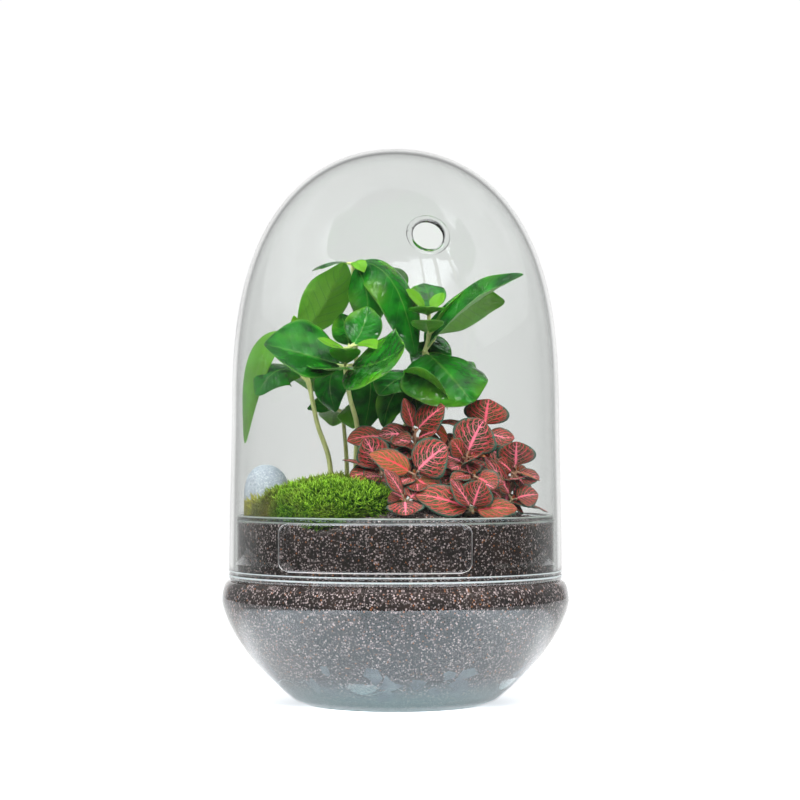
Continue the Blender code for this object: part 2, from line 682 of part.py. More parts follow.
TO_VIEWER = (0.0, -0.8, 0.6)
TO_SKY = (0.0, -0.25, 0.97)
TO_BACK = (0.1, 0.6, 0.8)
TO_RIGHT = (0.55, -0.55, 0.63)
TO_LEFT = (-0.45, -0.6, 0.66)
NERVE_PLANT = {
    "nerve_shoot_01": ((12, -6), (9.5, -18, 135.5), [
        ((-5, -1, 16.5), 11, TO_RIGHT),
        ((13.8, -5, 12.6), 15, TO_VIEWER),
        ((-16.5, -4, -1), 12, TO_VIEWER),
        ((11, -5, -6.5), 10, TO_VIEWER),
    ]),
    "nerve_shoot_02": ((14, -26), (9, -42, 115), [
        ((-20, -2, 9.5), 13, TO_LEFT),
        ((15, -4, 13), 20, TO_VIEWER),
        ((9.5, -8, -9.5), 14, TO_VIEWER),
        ((-8, -10, -5), 8, TO_SKY),
    ]),
    "nerve_shoot_03": ((4, -30), (-7, -31, 116.5), [
        ((-7.5, -2, 15.5), 15, TO_VIEWER),
        ((-17.5, -3, 5.5), 8, TO_SKY),
        ((-14, -7, -2), 11, TO_VIEWER),
    ]),
    "nerve_shoot_04": ((32, -22), (34.5, -35, 123.5), [
        ((8, -3, 17), 20, TO_VIEWER),
        ((8.5, -6, 0.5), 6, TO_SKY),
        ((1.5, -7, -8.5), 12, TO_VIEWER),
        ((-6.5, -3, 8), 9, TO_VIEWER),
    ]),
    "nerve_shoot_05": ((54, -14), (59.5, -20, 116.5), [
        ((0.5, -2, 14), 16, TO_VIEWER),
        ((11, 0, -4), 6, TO_SKY),
        ((6, -3, -9.5), 9.5, TO_RIGHT),
        ((-8, -4, 5), 10, TO_VIEWER),
    ]),
    "nerve_shoot_06": ((50, -27), (57, -31, 102.5), [
        ((-12.5, -1, 20), 13, TO_RIGHT),
        ((12, 3, 2.5), 12, TO_VIEWER),
        ((16.5, 10, -5.5), 11, TO_SKY),
        ((-6, -9, -7.5), 10, TO_VIEWER),
    ]),
    "nerve_shoot_07": ((34, -46), (37, -56, 97.5), [
        ((-25.5, 0, 7.5), 15, TO_VIEWER),
        ((-10, -1, 14.5), 12, TO_RIGHT),
        ((4, -1, 13.5), 14, TO_VIEWER),
        ((19.5, 2, 1), 11, TO_VIEWER),
    ]),
    "nerve_shoot_08": ((24, -4), (27.5, -13, 131.5), [
        ((-7.5, -8, 5.5), 10, TO_VIEWER),
        ((5.5, -6, -2.5), 9, TO_VIEWER),
        ((-4.5, -7, -11), 12, TO_VIEWER),
    ]),
    "nerve_shoot_09": ((42, -4), (44.5, -9, 137), [
        ((2.5, 3, 15), 19, TO_VIEWER),
        ((-23.5, -3, 4), 11, TO_SKY),
        ((13, -3, -5), 10, TO_VIEWER),
    ]),
    "nerve_shoot_10": ((10, -50), (4.5, -59, 103.5), [
        ((0.5, -7, -7), 15, TO_VIEWER),
        ((-9, 1, 13.5), 9, TO_RIGHT),
    ]),
    "nerve_shoot_11": ((-2, -14), (-4.5, -20, 133.5), [
        ((-18, -3, -1.5), 12, TO_VIEWER),
        ((2, 10, -6), 10, TO_BACK),
    ]),
    "nerve_shoot_12": ((44, -34), (38, -46, 114.5), [
        ((9.5, -4, -6), 13, TO_VIEWER),
        ((-10, -4, -1.5), 10, TO_SKY),
    ]),
    "nerve_shoot_13": ((34, 12), (37, 20, 124.5), [
        ((-13.5, 5, 4), 13, TO_BACK),
        ((11.5, 8, 3), 13, TO_BACK),
        ((0.5, 13, -6.5), 12, TO_BACK),
        ((1.5, -6, 12.5), 9, TO_BACK),
    ]),
    "nerve_shoot_14": ((56, 8), (60.5, 14, 116), [
        ((-7.5, 12, 3), 12, TO_BACK),
        ((10, 8, -2), 11, TO_RIGHT),
        ((3, -3, 14.5), 11, TO_RIGHT),
    ]),
    "nerve_shoot_15": ((14, 18), (14, 28, 114.5), [
        ((-12, 6, 3.5), 12, TO_BACK),
        ((11, 8, 0.5), 12, TO_BACK),
        ((-2, 11, -7), 11, TO_BACK),
    ]),
    "nerve_shoot_16": ((26, -34), (25, -32, 112.5), [
        ((5.5, 0, 8), 9, TO_VIEWER),
        ((-6, -6, -5), 9, TO_VIEWER),
        ((3.5, -8, -7.5), 10, TO_VIEWER),
    ]),
}
NERVE_STEM_RADIUS = 0.9
NERVE_STALK = 3.5
NERVE_PAIR_STEP = 2.0  # from each pair of leaves down to the next
NERVE_ARCH = 0.14  # rise of a leaf's rib, as a share of its length
NERVE_BREADTH = 1.1  # a leaf's width, as a share of the width in the list


def coffee_plant(name, plan, finish):
    stem = [Vector(p) for p in plan["stem"]]
    curve = stem_path(stem[0].x, stem[0].y, stem[1:], 1)
    foot, top = COFFEE_STEM_RADII
    radii = [foot + (top - foot) * i / (len(curve) - 1) for i in range(len(curve))]
    body = tube(name, curve, radii, finish)
    leaves = []
    for node, middle, tip, width, face, fold, wave in plan["leaves"]:
        middle = Vector(middle)
        rib = (leaf_root(stem[node], middle, len(leaves)), middle, Vector(tip))
        shape = (width, Vector(face), fold, wave, coffee_outline, COFFEE_STALK, finish)
        detail = (4 if width < SHORT_LEAF else 5, 2 if width < PLAIN_LEAF else 4)
        leaves.append(blade("leaf", *rib, *shape, *detail))
    apply_boolean(body, "UNION", leaves)


def nerve_shoot(name, plan, finish):
    (x, y), head, leaves = plan
    head = Vector(head)
    bend = Vector((x * 0.4 + head.x * 0.6, y * 0.4 + head.y * 0.6, soil_height(x, y) * 0.45 + head.z * 0.55))
    curve = stem_path(x, y, [bend, head], 2)
    stem = tube(name, curve, [NERVE_STEM_RADIUS] * len(curve), finish, 4)
    blades = []
    for i, (tip, width, face) in enumerate(leaves):
        base = head.lerp(bend, NERVE_PAIR_STEP * (i // 2) / (head - bend).length)
        tip = Vector(tip)
        middle = (base + head + tip) / 2 + UP * tip.length * NERVE_ARCH / 2
        shape = (middle, head + tip, width * NERVE_BREADTH, Vector(face), 8, 0.0, nerve_outline, NERVE_STALK, finish)
        detail = (3 if width < SMALL_LEAF else 4, 2)
        blades.append(blade("leaf", leaf_root(base, middle, i), *shape, *detail))
    apply_boolean(stem, "UNION", blades)


def from_segment(point, start, end):
    """The distance from a point to a straight line's stretch."""
    along = end - start
    share = max(0.0, min(1.0, (point - start).dot(along) / along.length_squared))
    return (point - start - along * share).length


def leaf_lines():
    """A straight line along each leaf and stem that may pass near the moss."""
    lines = []
    for (x, y), head, leaves in NERVE_PLANT.values():
        head = Vector(head)
        lines.append((Vector((x, y, soil_height(x, y))), head, 4.5))
        lines += [(head, head + Vector(tip), width / 2 + 1) for tip, width, _ in leaves]
    for plan in COFFEE.values():
        lines.append((Vector(plan["stem"][0]), Vector(plan["stem"][1]), 4.0))
    return lines


def make_moss(finish, rng):
    """The cushion and a small tuft beside it, both clear of the glass, the pebble and the plants."""
    lines = leaf_lines()

    def clear(tip):
        if math.hypot(tip.x, tip.y) > NECK_RADIUS - NECK_WALL - 1.0:
            return False
        offset = tip - PEBBLE_CENTRE
        if abs(offset.x) < PEBBLE_RADII.x + 2 and abs(offset.y) < PEBBLE_RADII.y + 2:
            return False
        return all(from_segment(tip, start, end) > room for start, end, room in lines)

    def clear_of_tuft(tip):
        return clear(tip) and (tip - TUFT_CENTRE).to_2d().length > TUFT_RADII[0] + 3

    def clear_of_cushion(tip):
        offset = tip - MOSS_CENTRE
        return clear(tip) and math.hypot(offset.x / MOSS_RADII[0], offset.y / MOSS_RADII[1]) > 1.05

    core = moss_core("moss_cushion", MOSS_CENTRE, MOSS_RADII, MOSS_HEIGHT, finish)
    shape = (MOSS_CENTRE, MOSS_RADII, MOSS_HEIGHT, CUSHION_SHOOTS, SHOOT_LENGTH)
    apply_boolean(core, "UNION", moss_shoots(*shape, rng, finish, clear_of_tuft))
    core = moss_core("moss_tuft", TUFT_CENTRE, TUFT_RADII, TUFT_HEIGHT, finish, 10, 2)
    shape = (TUFT_CENTRE, TUFT_RADII, TUFT_HEIGHT, TUFT_SHOOTS, SHOOT_LENGTH)
    apply_boolean(core, "UNION", moss_shoots(*shape, rng, finish, clear_of_cushion))


def main():
    clear_scene()
    rng = random.Random(7)
    finishes = {
        "glass": material("glass", (0.86, 0.93, 0.9), 0.02, glass=1.0),
        "gravel": material("gravel", (0.1, 0.11, 0.12), 0.85),
        "soil": material("soil", (0.07, 0.05, 0.045), 0.95),
        "pebble": material("pebble", (0.45, 0.48, 0.51), 0.8),
        "moss": material("moss", (0.11, 0.27, 0.03), 0.85),
        "coffee_leaf": material("coffee_leaf", (0.02, 0.2, 0.03), 0.2),
        "nerve_leaf": material("nerve_leaf", (0.5, 0.07, 0.08), 0.5),
    }
    make_bowl(finishes["glass"])
    make_dome(finishes["glass"])
    make_gravel(finishes["gravel"])
    roots = [(Vector(plan["stem"][0]).to_2d(), COFFEE_STEM_RADII[0]) for plan in COFFEE.values()]
    roots += [(Vector(plan[0]), NERVE_STEM_RADIUS) for plan in NERVE_PLANT.values()]
    room = pebble_shape("room", PEBBLE_CENTRE, PEBBLE_RADII + Vector((GAP, GAP, GAP)), finishes["pebble"])
    make_soil(finishes["soil"], roots, room)
    pebble_shape("pebble", PEBBLE_CENTRE, PEBBLE_RADII, finishes["pebble"])
    make_moss(finishes["moss"], rng)
    for name, plan in COFFEE.items():
        coffee_plant(name, plan, finishes["coffee_leaf"])
    for name, plan in NERVE_PLANT.items():
        nerve_shoot(name, plan, finishes["nerve_leaf"])


main()
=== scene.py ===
"""Dresses a planted glass terrarium: a turned glass bowl and dome, soil with pale flecks over drainage
stones, a pebble, moss, coffee seedlings and a red-veined nerve plant. +Z is up and the viewer stands at -Y.
Shapes are worked out in millimetres and become metres when a mesh is made."""

import math
import random

import bmesh
import bpy
import numpy as np
from mathutils import Matrix, Vector, noise


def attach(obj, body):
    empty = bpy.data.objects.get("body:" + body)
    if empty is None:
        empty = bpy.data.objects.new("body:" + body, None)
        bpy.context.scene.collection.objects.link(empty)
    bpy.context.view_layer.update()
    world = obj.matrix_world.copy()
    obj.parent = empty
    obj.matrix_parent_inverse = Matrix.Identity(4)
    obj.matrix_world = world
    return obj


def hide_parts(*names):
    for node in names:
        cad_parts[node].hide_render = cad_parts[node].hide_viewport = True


bl_info = {
    "name": "Plant Terrarium",
    "version": (1, 0, 0),
    "blender": (4, 5, 0),
    "location": "View3D > Sidebar > Terrarium",
    "description": "Builds the visible pieces of a planted glass terrarium",
    "category": "Add Mesh",
}

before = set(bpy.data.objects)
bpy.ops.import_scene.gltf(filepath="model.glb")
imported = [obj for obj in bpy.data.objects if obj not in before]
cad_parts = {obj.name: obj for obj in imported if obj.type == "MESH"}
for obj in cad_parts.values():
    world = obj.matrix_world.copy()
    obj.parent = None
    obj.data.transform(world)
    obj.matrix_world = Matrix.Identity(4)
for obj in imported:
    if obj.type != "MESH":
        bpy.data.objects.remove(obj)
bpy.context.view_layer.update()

MM = 0.001
UP = Vector((0, 0, 1))

# Glass bowl. Its belly is a stretched oval, widest at BELLY_HEIGHT.
BOWL_WALL = 3.4
NECK_WALL = 2.8
BELLY_RADIUS = 87.5
BELLY_HEIGHT = 52.0
BELLY_FALL = 74.0
BELLY_POWER = 1.5
FLOOR_HEIGHT = 7.0
FLOOR_DIP = 0.8
FLOOR_CORNER = (3.5, 2.0)  # the round of the inner floor's edge, outwards and upwards
INSIDE_START = 9.0  # where the inner curve starts, above that round
FOOT_INNER_RADIUS = 39.0
FOOT_OUTER_RADIUS = 45.5
FOOT_ROUND = 0.8
HEEL_ROUND = 1.6
HEEL_HEIGHT = 2.4
PUNT_RISE = 1.2
SHOULDER_GAP = 1.5  # between the belly's last ring and the shoulder's round
SHOULDER_RADIUS = 83.7
SHOULDER_INSIDE = (81.0, 3.1, 6.8)
LEDGE_HEIGHT = 62.0
LEDGE_ROUND = 1.5
NECK_TURN = (79.2, 60.8, 2.0)
NECK_RADIUS = 80.0
NECK_START = 66.0
RIM_HEIGHT = 95.0

# Glass dome. It narrows a little up to CROWN_START and is a stretched round from there.
DOME_WALL = 2.5
DOME_TOP = 280.0
DOME_FOOT_RADIUS = 84.0
DOME_REST = 0.3
DOME_TAPER = 1.4
CROWN_RADIUS = 82.9
CROWN_START = 140.0
CROWN_POWER = 2.8
CROWN_ROOT = 0.47
VENT_RADIUS = 7.5
VENT_AZIMUTH = math.radians(13.0)
VENT_HEIGHT = 230.2
VENT_LIP = 1.7

# Fine ridges round the glass, each as (lower edge, crest, upper edge, how far it stands out), and the
# heights between which an edge carries a band of painted light: painted highlight lines on the rim and the
# dome's foot, and a painted shade line along the bowl's foot.
RIM_RIDGES = ((91.9, 92.25, 92.6, 0.12),)
DOME_FOOT_RIDGES = ((64.3, 64.7, 65.1, 0.12), (66.8, 67.05, 67.3, 0.1))
RIM_EDGE = (94.4, 94.9)
FOOT_EDGE = (0.0, 1.0)

# Label
LABEL_SIDES = (-56.0, 36.5)
LABEL_HEIGHTS = (69.0, 92.5)
LABEL_CORNER = 5.0
LABEL_LIFT = 0.02
LABEL_THICKNESS = 0.1

# Filling
SOIL_EDGE = 91.0
SOIL_MOUND = 10.0
SOIL_WAVE = 0.7
SOIL_WAVE_LENGTHS = (13.0, 11.0)
SOIL_FOOT = 17.0  # the soil's side follows the glass down to here
SOIL_ABOVE_GRAVEL = 0.4
SAG_DEPTH = 4.5  # of the soil's edge, where the moss creeps down between it and the glass
SAG_PLACE = -32.0
SAG_WIDTH = 9.0
SAG_RADIUS = 77.0
SAG_POWER = 8
SAG_FADE = 6.6  # how far down the soil's side the sinking fades out
GRAVEL_LEVEL = 15.0
GRAVEL_WAVES = ((3.2, 5, 0.6), (2.4, 9, 2.0), (1.6, 14, 0.0))
WALL_OVERLAP = 0.08  # how far soil and bed reach into the glass, so that no air shows between them
BED_OVERLAP = 0.05
STONE_OVERLAP = 0.18
STONE_SIZES = (4.5, 7.5)
STONE_START = 13.0  # height of the lowest of three rows of stones
STONE_STEP = 4.5
FLECK_SIZES = (0.12, 0.30)
PEBBLE_CENTRE = Vector((-66.0, 8.0, 104.6))
PEBBLE_RADII = Vector((12.4, 9.0, 15.8))
PEBBLE_TILT = math.radians(-4)

# Moss
MOSS_CENTRE = Vector((-35.0, -37.0, 0))
MOSS_RADII = (34.5, 27.5)
MOSS_HEIGHT = 11.0
TUFT_CENTRE = Vector((-69.0, -13.5, 0))
TUFT_RADII = (5.0, 5.5)
TUFT_HEIGHT = 4.0
MOSS_SEAT = 0.6
MOSS_REACH = 75.8
SHOOT_REACH = MOSS_REACH + 0.9  # shoots are pressed back to this far from the axis

# Stems
HOLE_DEPTH = 14.0
COFFEE_STEM_RADII = (1.45, 0.95)
COFFEE_STALK = 4.0
NERVE_STEM_RADIUS = 0.9
NERVE_STALK = 3.5
NERVE_PAIR_STEP = 2.0
NERVE_ARCH = 0.14

# Leaves
SMALL_LEAF = 11.0  # narrower ones need fewer faces
RIB_ROUND = 0.08  # how softly the two halves meet, as a share of the half width
NERVE_REACH = 1.08  # the wavy blades are longer and wider than their plain outlines
NERVE_BREADTH = 1.24
LOWER_LEAF_START = 3.0
LOWER_LEAF_STEP = 4.2
LEAF_LIMIT = 74.0  # how far from the axis a lower leaf's tip may be
TIP_LEAFLET = 2.2

# Floor
FLOOR_SIDE = 1600.0
FLOOR_FRONT = -460.0
FLOOR_BACK = 1300.0
FLOOR_LEVEL = -0.2

# Finishes: colours and shares that aren't settings, with places in metres
COOL_WHITE = (0.92, 0.955, 1.0)
DULL_MIRROR = (0.66, 0.76, 0.80)  # keeps the belly's reflections from paling the soil behind them
# Colours of the edge bands, which are painted light: pale grey for painted highlight lines on the rim and the
# dome's foot, dark teal for a painted shade line along the bowl's foot
RIM_PAINTED_HIGHLIGHT = (0.34, 0.40, 0.37)
FOOT_PAINTED_SHADE = (0.03, 0.12, 0.12)
DOME_PAINTED_HIGHLIGHT = (0.62, 0.70, 0.70)
LABEL_FILM = (0.96, 0.96, 0.97)
GRAIN_RAGGEDNESS = 0.0005
GRAIN_SHARE = 0.62
LARGE_GRAIN_SHARE = 0.14
RUSTY_GRAIN = (0.35, 0.12, 0.04)
# Heights and share of a painted veil: pale light painted on the soil low in the bowl, for the bright floor
# seen through the glass foot
VEIL_HEIGHTS = (0.021, 0.008)
VEIL_SHARE = 0.62
PEBBLE_SPECK = (0.74, 0.80, 0.86)
OLD_MOSS_BACK = (-0.046, -0.018)
OLD_MOSS_LEFT = (-0.054, -0.064)
# The straw moss's root, shoot, tip and old colours; the dark root is partly painted shade deep in the tuft
STRAW_MOSS = ((0.05, 0.03, 0.005), (0.16, 0.17, 0.02), (0.60, 0.62, 0.06), (0.30, 0.30, 0.03))
COFFEE_UNDERSIDE = ((0.08, 0.24, 0.02), (0.13, 0.32, 0.035))
COFFEE_VEIN_BELOW = (0.03, 0.11, 0.012)
COFFEE_VEINS = 8.0
COFFEE_VEIN_LEAN = 2.0
COFFEE_GLOSS = 0.085  # roughness of the smoothest leaf
COFFEE_STREAK = (0.34, 0.40, 0.12)
NERVE_VEINS = 5.5
NERVE_VEIN_LEAN = 2.9
# The nerve leaves' undersides are painted dark brown: painted shade, so that the gaps between leaves look
# shaded
NERVE_SHADED_UNDERSIDE = (0.075, 0.05, 0.035)
NERVE_STEM = ((0.10, 0.12, 0.05), (0.30, 0.16, 0.10), (0.45, 0.30, 0.18))

# Coffee seedlings. Each stem is a list of points, and each leaf is
# (stem point, middle of its rib, tip, width, face, fold, wave, age).

OLD, YOUNG, BUD = 0.0, 0.6, 1.0
COFFEE = {
    "coffee_front": {
        "stem": [
            (-20.5, 3, 103.5), (-20, 1, 125), (-19.5, -4, 140),
            (-23, -10, 154), (-25, -14, 169), (-23, -14, 178.5),
        ],
        "leaves": [
            (4, (-43.5, -18, 174.5), (-65, -22, 180), 46, (0.05, -0.64, 0.77), 18, 1.0, OLD),
            (4, (-9, -32, 170), (4.5, -45, 178), 44, (-0.35, -0.62, 0.7), 14, 0.8, OLD),
            (5, (-17, -10, 187.5), (-14, -5, 200), 20, (0.05, -0.88, 0.47), 12, 0.5, OLD),
            (5, (-25, 2, 187.5), (-28, 13, 197.5), 15, (-0.2, -0.7, 0.68), 6, 0.5, OLD),
            (5, (-30.5, -19, 179.5), (-38.5, -22, 183), 9.5, (0.15, -0.5, 0.85), 16, 0.0, BUD),
            (5, (-14, -19, 180.5), (-6, -22, 177), 10, (0.0, -0.5, 0.86), 14, 0.0, BUD),
            (4, (-25, -24, 173.5), (-24.5, -35, 177), 17, (0.0, 0.5, 0.87), 24, 0.0, YOUNG),
            (4, (-31, -31, 167), (-35, -45, 167), 24.5, (0.0, -0.25, 0.97), 12, 0.6, OLD),
        ],
    },
    "coffee_left": {
        "stem": [
            (-32.5, 9, 107), (-34, 9, 122.5), (-40, 10, 140.5),
            (-44.5, 10, 161.5), (-49, 11, 178), (-50.5, 12, 185),
        ],
        "leaves": [
            (3, (-58.5, 6, 168.5), (-70, -4, 155), 24, (-0.1, -0.6, 0.79), -8, 1.0, OLD),
            (4, (-67, 9, 178.5), (-77, 2, 131), 14, (-0.15, -0.85, 0.5), 16, 0.8, YOUNG),
            (5, (-36.5, 8, 202.5), (-26.5, -3.5, 222.5), 26, (-0.35, 0.85, 0.4), 14, 0.8, YOUNG),
            (5, (-51, 12, 189.5), (-52.5, 12, 196.5), 6, (0.0, -0.5, 0.87), 10, 0.0, BUD),
            (3, (-47.5, 34, 168.5), (-44.5, 56, 159), 26, (0.0, 0.35, 0.94), 8, 1.2, OLD),
        ],
    },
    "coffee_tall": {
        "stem": [
            (-17, 18, 103.5), (-17, 18, 125), (-17.5, 17, 151),
            (-20, 16, 171), (-21, 13, 194.5), (-22, 9, 222.5),
        ],
        "leaves": [
            (5, (-2, -1.5, 213), (10, -2, 174.5), 26, (0.35, -0.75, 0.56), -16, 1.0, OLD),
            (5, (-15, -2.5, 208.5), (-14.5, 3, 186), 20, (-0.1, -0.9, 0.4), -14, 1.0, OLD),
            (5, (-19.5, 3, 223), (-16, -3.5, 217.5), 8, (-0.1, -0.6, 0.8), 12, 0.0, BUD),
            (5, (-33, 24, 225), (-44, 33, 221.5), 14, (0.0, -0.3, 0.95), -6, 0.8, OLD),
            (3, (-32.5, 8, 166), (-30.5, 3, 147), 22, (-0.4, -0.8, 0.45), -10, 0.8, OLD),
            (3, (-13, 9, 163), (-16.5, 4, 137), 23, (0.4, -0.8, 0.45), -10, 0.8, OLD),
            (3, (-9, 14, 162), (-3, 9, 141), 23, (0.15, -0.85, 0.45), -8, 0.8, OLD),
            (3, (-15.5, 40, 163.5), (-11.5, 62, 153.5), 28, (0.0, 0.3, 0.95), 8, 1.2, OLD),
            (5, (-8, 28, 222.5), (3.5, 46, 211), 24, (0.1, 0.35, 0.93), -8, 1.0, OLD),
        ],
    },
    "coffee_small": {
        "stem": [(-25.5, 27, 103), (-25.5, 26, 121.5), (-27.5, 23, 147)],
        "leaves": [
            (2, (-37, 23, 151), (-46, 25, 149), 13, (0.0, -0.6, 0.8), 6, 0.6, OLD),
            (2, (-25, 14, 148), (-21.5, 8, 138.5), 12, (-0.2, -0.8, 0.5), 4, 0.5, YOUNG),
            (2, (-32, 38, 147.5), (-33.5, 50, 140.5), 17, (0.0, 0.3, 0.95), 6, 0.8, OLD),
        ],
    },
    "coffee_right": {
        "stem": [
            (-3, 14, 103.5), (-1, 12, 121.5), (8.5, 8, 150), (12.5, 6, 165.5),
            (15, 5, 177.5), (17, 4, 186), (17, 4, 197.5),
        ],
        "leaves": [
            (6, (17, 14, 206.5), (14.5, 25, 214), 19, (0.05, -0.62, 0.78), 10, 0.6, OLD),
            (6, (11.5, 2, 203.5), (5.5, 0, 209), 9.5, (0.1, -0.6, 0.79), 14, 0.0, BUD),
            (6, (20.5, 7, 202.5), (24.5, 9, 208), 8, (-0.1, -0.6, 0.79), 14, 0.0, BUD),
            (6, (16, -7, 196), (16, -17.5, 199), 20, (0.0, 0.55, 0.83), 22, 0.0, YOUNG),
            (5, (16, -12, 190), (15.5, -28, 191.5), 17, (0.0, 0.25, 0.97), 14, 0.0, OLD),
            (4, (34, 4, 198), (65.5, 3, 217), 26, (-0.52, -0.42, 0.74), 34, 0.8, OLD),
            (5, (35.5, 18, 200), (57, 23, 204.5), 24, (-0.1, 0.75, 0.65), 6, 1.0, YOUNG),
            (4, (25, -9, 167.5), (38, -20, 151), 50, (0.25, -0.72, 0.64), -10, 1.4, OLD),
            (3, (17.5, -9, 160), (27.5, -19, 151.5), 34, (0.05, 0.6, 0.8), 6, 1.0, YOUNG),
            (3, (0.5, -3, 157.5), (-6, -10, 139), 19, (-0.35, -0.8, 0.45), -8, 0.8, OLD),
            (3, (2, -6, 163.5), (-8, -15, 155), 24, (-0.2, -0.75, 0.6), 6, 0.8, OLD),
            (3, (10, 3, 155), (14, -3, 139), 20, (0.2, -0.85, 0.45), -8, 0.8, OLD),
            (5, (18, 14, 177.5), (15.5, 16, 163), 22, (0.0, -0.9, 0.43), -8, 0.8, OLD),
            (4, (26.5, 32, 172.5), (37.5, 52, 164), 28, (0.1, 0.3, 0.95), 8, 1.2, OLD),
        ],
    },
}

# Nerve plant. Each shoot is (root, head, leaves), and each leaf is (tip from the head, width, face, tone),
# where the tone goes from grey-green ground and pink veins at 0 to young orange-brown at 1.

TO_VIEWER = (0.0, -0.8, 0.6)
TO_SKY = (0.0, -0.25, 0.97)
TO_BACK = (0.1, 0.6, 0.8)
TO_RIGHT = (0.55, -0.55, 0.63)
TO_LEFT = (-0.45, -0.6, 0.66)
NERVE_PLANT = {
    "nerve_shoot_01": ((12, -6), (9.5, -18, 135.5), [
        ((-5, -1, 16.5), 11, TO_RIGHT, 0.45),
        ((13.8, -5, 12.6), 15, TO_VIEWER, 0.4),
        ((-16.5, -4, -1), 12, TO_VIEWER, 0.1),
        ((11, -5, -6.5), 10, TO_VIEWER, 0.75),
    ]),
    "nerve_shoot_02": ((14, -26), (9, -42, 115), [
        ((-20, -2, 9.5), 13, TO_LEFT, 0.85),
        ((15, -4, 13), 20, TO_VIEWER, 0.15),
        ((9.5, -8, -9.5), 14, TO_VIEWER, 0.6),
        ((-8, -10, -5), 8, TO_SKY, 0.2),
    ]),
    "nerve_shoot_03": ((4, -30), (-7, -31, 116.5), [
        ((-7.5, -2, 15.5), 15, TO_VIEWER, 0.15),
        ((-17.5, -3, 5.5), 8, TO_SKY, 0.3),
        ((-14, -7, -2), 11, TO_VIEWER, 0.45),
    ]),
    "nerve_shoot_04": ((32, -22), (34.5, -35, 123.5), [
        ((8, -3, 17), 20, TO_VIEWER, 0.1),
        ((8.5, -6, 0.5), 6, TO_SKY, 1.0),
        ((1.5, -7, -8.5), 12, TO_VIEWER, 0.3),
        ((-6.5, -3, 8), 9, TO_VIEWER, 0.5),
    ]),
    "nerve_shoot_05": ((54, -14), (59.5, -20, 116.5), [
        ((0.5, -2, 14), 16, TO_VIEWER, 0.25),
        ((11, 0, -4), 6, TO_SKY, 1.0),
        ((6, -3, -9.5), 9.5, TO_RIGHT, 0.1),
        ((-8, -4, 5), 10, TO_VIEWER, 0.4),
    ]),
    "nerve_shoot_06": ((50, -27), (57, -31, 102.5), [
        ((-12.5, -1, 20), 13, TO_RIGHT, 0.2),
        ((12, 3, 2.5), 12, TO_VIEWER, 0.4),
        ((16.5, 10, -5.5), 11, TO_SKY, 0.5),
        ((-6, -9, -7.5), 10, TO_VIEWER, 0.3),
    ]),
    "nerve_shoot_07": ((34, -46), (37, -56, 97.5), [
        ((-25.5, 0, 7.5), 15, TO_VIEWER, 0.55),
        ((-10, -1, 14.5), 12, TO_RIGHT, 0.2),
        ((4, -1, 13.5), 14, TO_VIEWER, 0.3),
        ((19.5, 2, 1), 11, TO_VIEWER, 0.7),
    ]),
    "nerve_shoot_08": ((24, -4), (27.5, -13, 131.5), [
        ((-7.5, -8, 5.5), 10, TO_VIEWER, 0.8),
        ((5.5, -6, -2.5), 9, TO_VIEWER, 0.4),
        ((-4.5, -7, -11), 12, TO_VIEWER, 0.3),
    ]),
    "nerve_shoot_09": ((42, -4), (44.5, -9, 137), [
        ((2.5, 3, 15), 19, TO_VIEWER, 0.5),
        ((-23.5, -3, 4), 11, TO_SKY, 0.35),
        ((13, -3, -5), 10, TO_VIEWER, 0.25),
    ]),
    "nerve_shoot_10": ((10, -50), (4.5, -59, 103.5), [
        ((0.5, -7, -7), 15, TO_VIEWER, 0.35),
        ((-9, 1, 13.5), 9, TO_RIGHT, 0.15),
    ]),
    "nerve_shoot_11": ((-2, -14), (-4.5, -20, 133.5), [
        ((-18, -3, -1.5), 12, TO_VIEWER, 0.5),
        ((2, 10, -6), 10, TO_BACK, 0.3),
    ]),
    "nerve_shoot_12": ((44, -34), (38, -46, 114.5), [
        ((9.5, -4, -6), 13, TO_VIEWER, 0.55),
        ((-10, -4, -1.5), 10, TO_SKY, 0.3),
    ]),
    "nerve_shoot_13": ((34, 12), (37, 20, 124.5), [
        ((-13.5, 5, 4), 13, TO_BACK, 0.3),
        ((11.5, 8, 3), 13, TO_BACK, 0.2),
        ((0.5, 13, -6.5), 12, TO_BACK, 0.4),
        ((1.5, -6, 12.5), 9, TO_BACK, 0.6),
    ]),
    "nerve_shoot_14": ((56, 8), (60.5, 14, 116), [
        ((-7.5, 12, 3), 12, TO_BACK, 0.2),
        ((10, 8, -2), 11, TO_RIGHT, 0.5),
        ((3, -3, 14.5), 11, TO_RIGHT, 0.3),
    ]),
    "nerve_shoot_15": ((14, 18), (14, 28, 114.5), [
        ((-12, 6, 3.5), 12, TO_BACK, 0.4),
        ((11, 8, 0.5), 12, TO_BACK, 0.2),
        ((-2, 11, -7), 11, TO_BACK, 0.3),
    ]),
    "nerve_shoot_16": ((26, -34), (25, -32, 112.5), [
        ((5.5, 0, 8), 9, TO_VIEWER, 0.3),
        ((-6, -6, -5), 9, TO_VIEWER, 0.4),
        ((3.5, -8, -7.5), 10, TO_VIEWER, 0.35),
    ]),
}


# Node trees


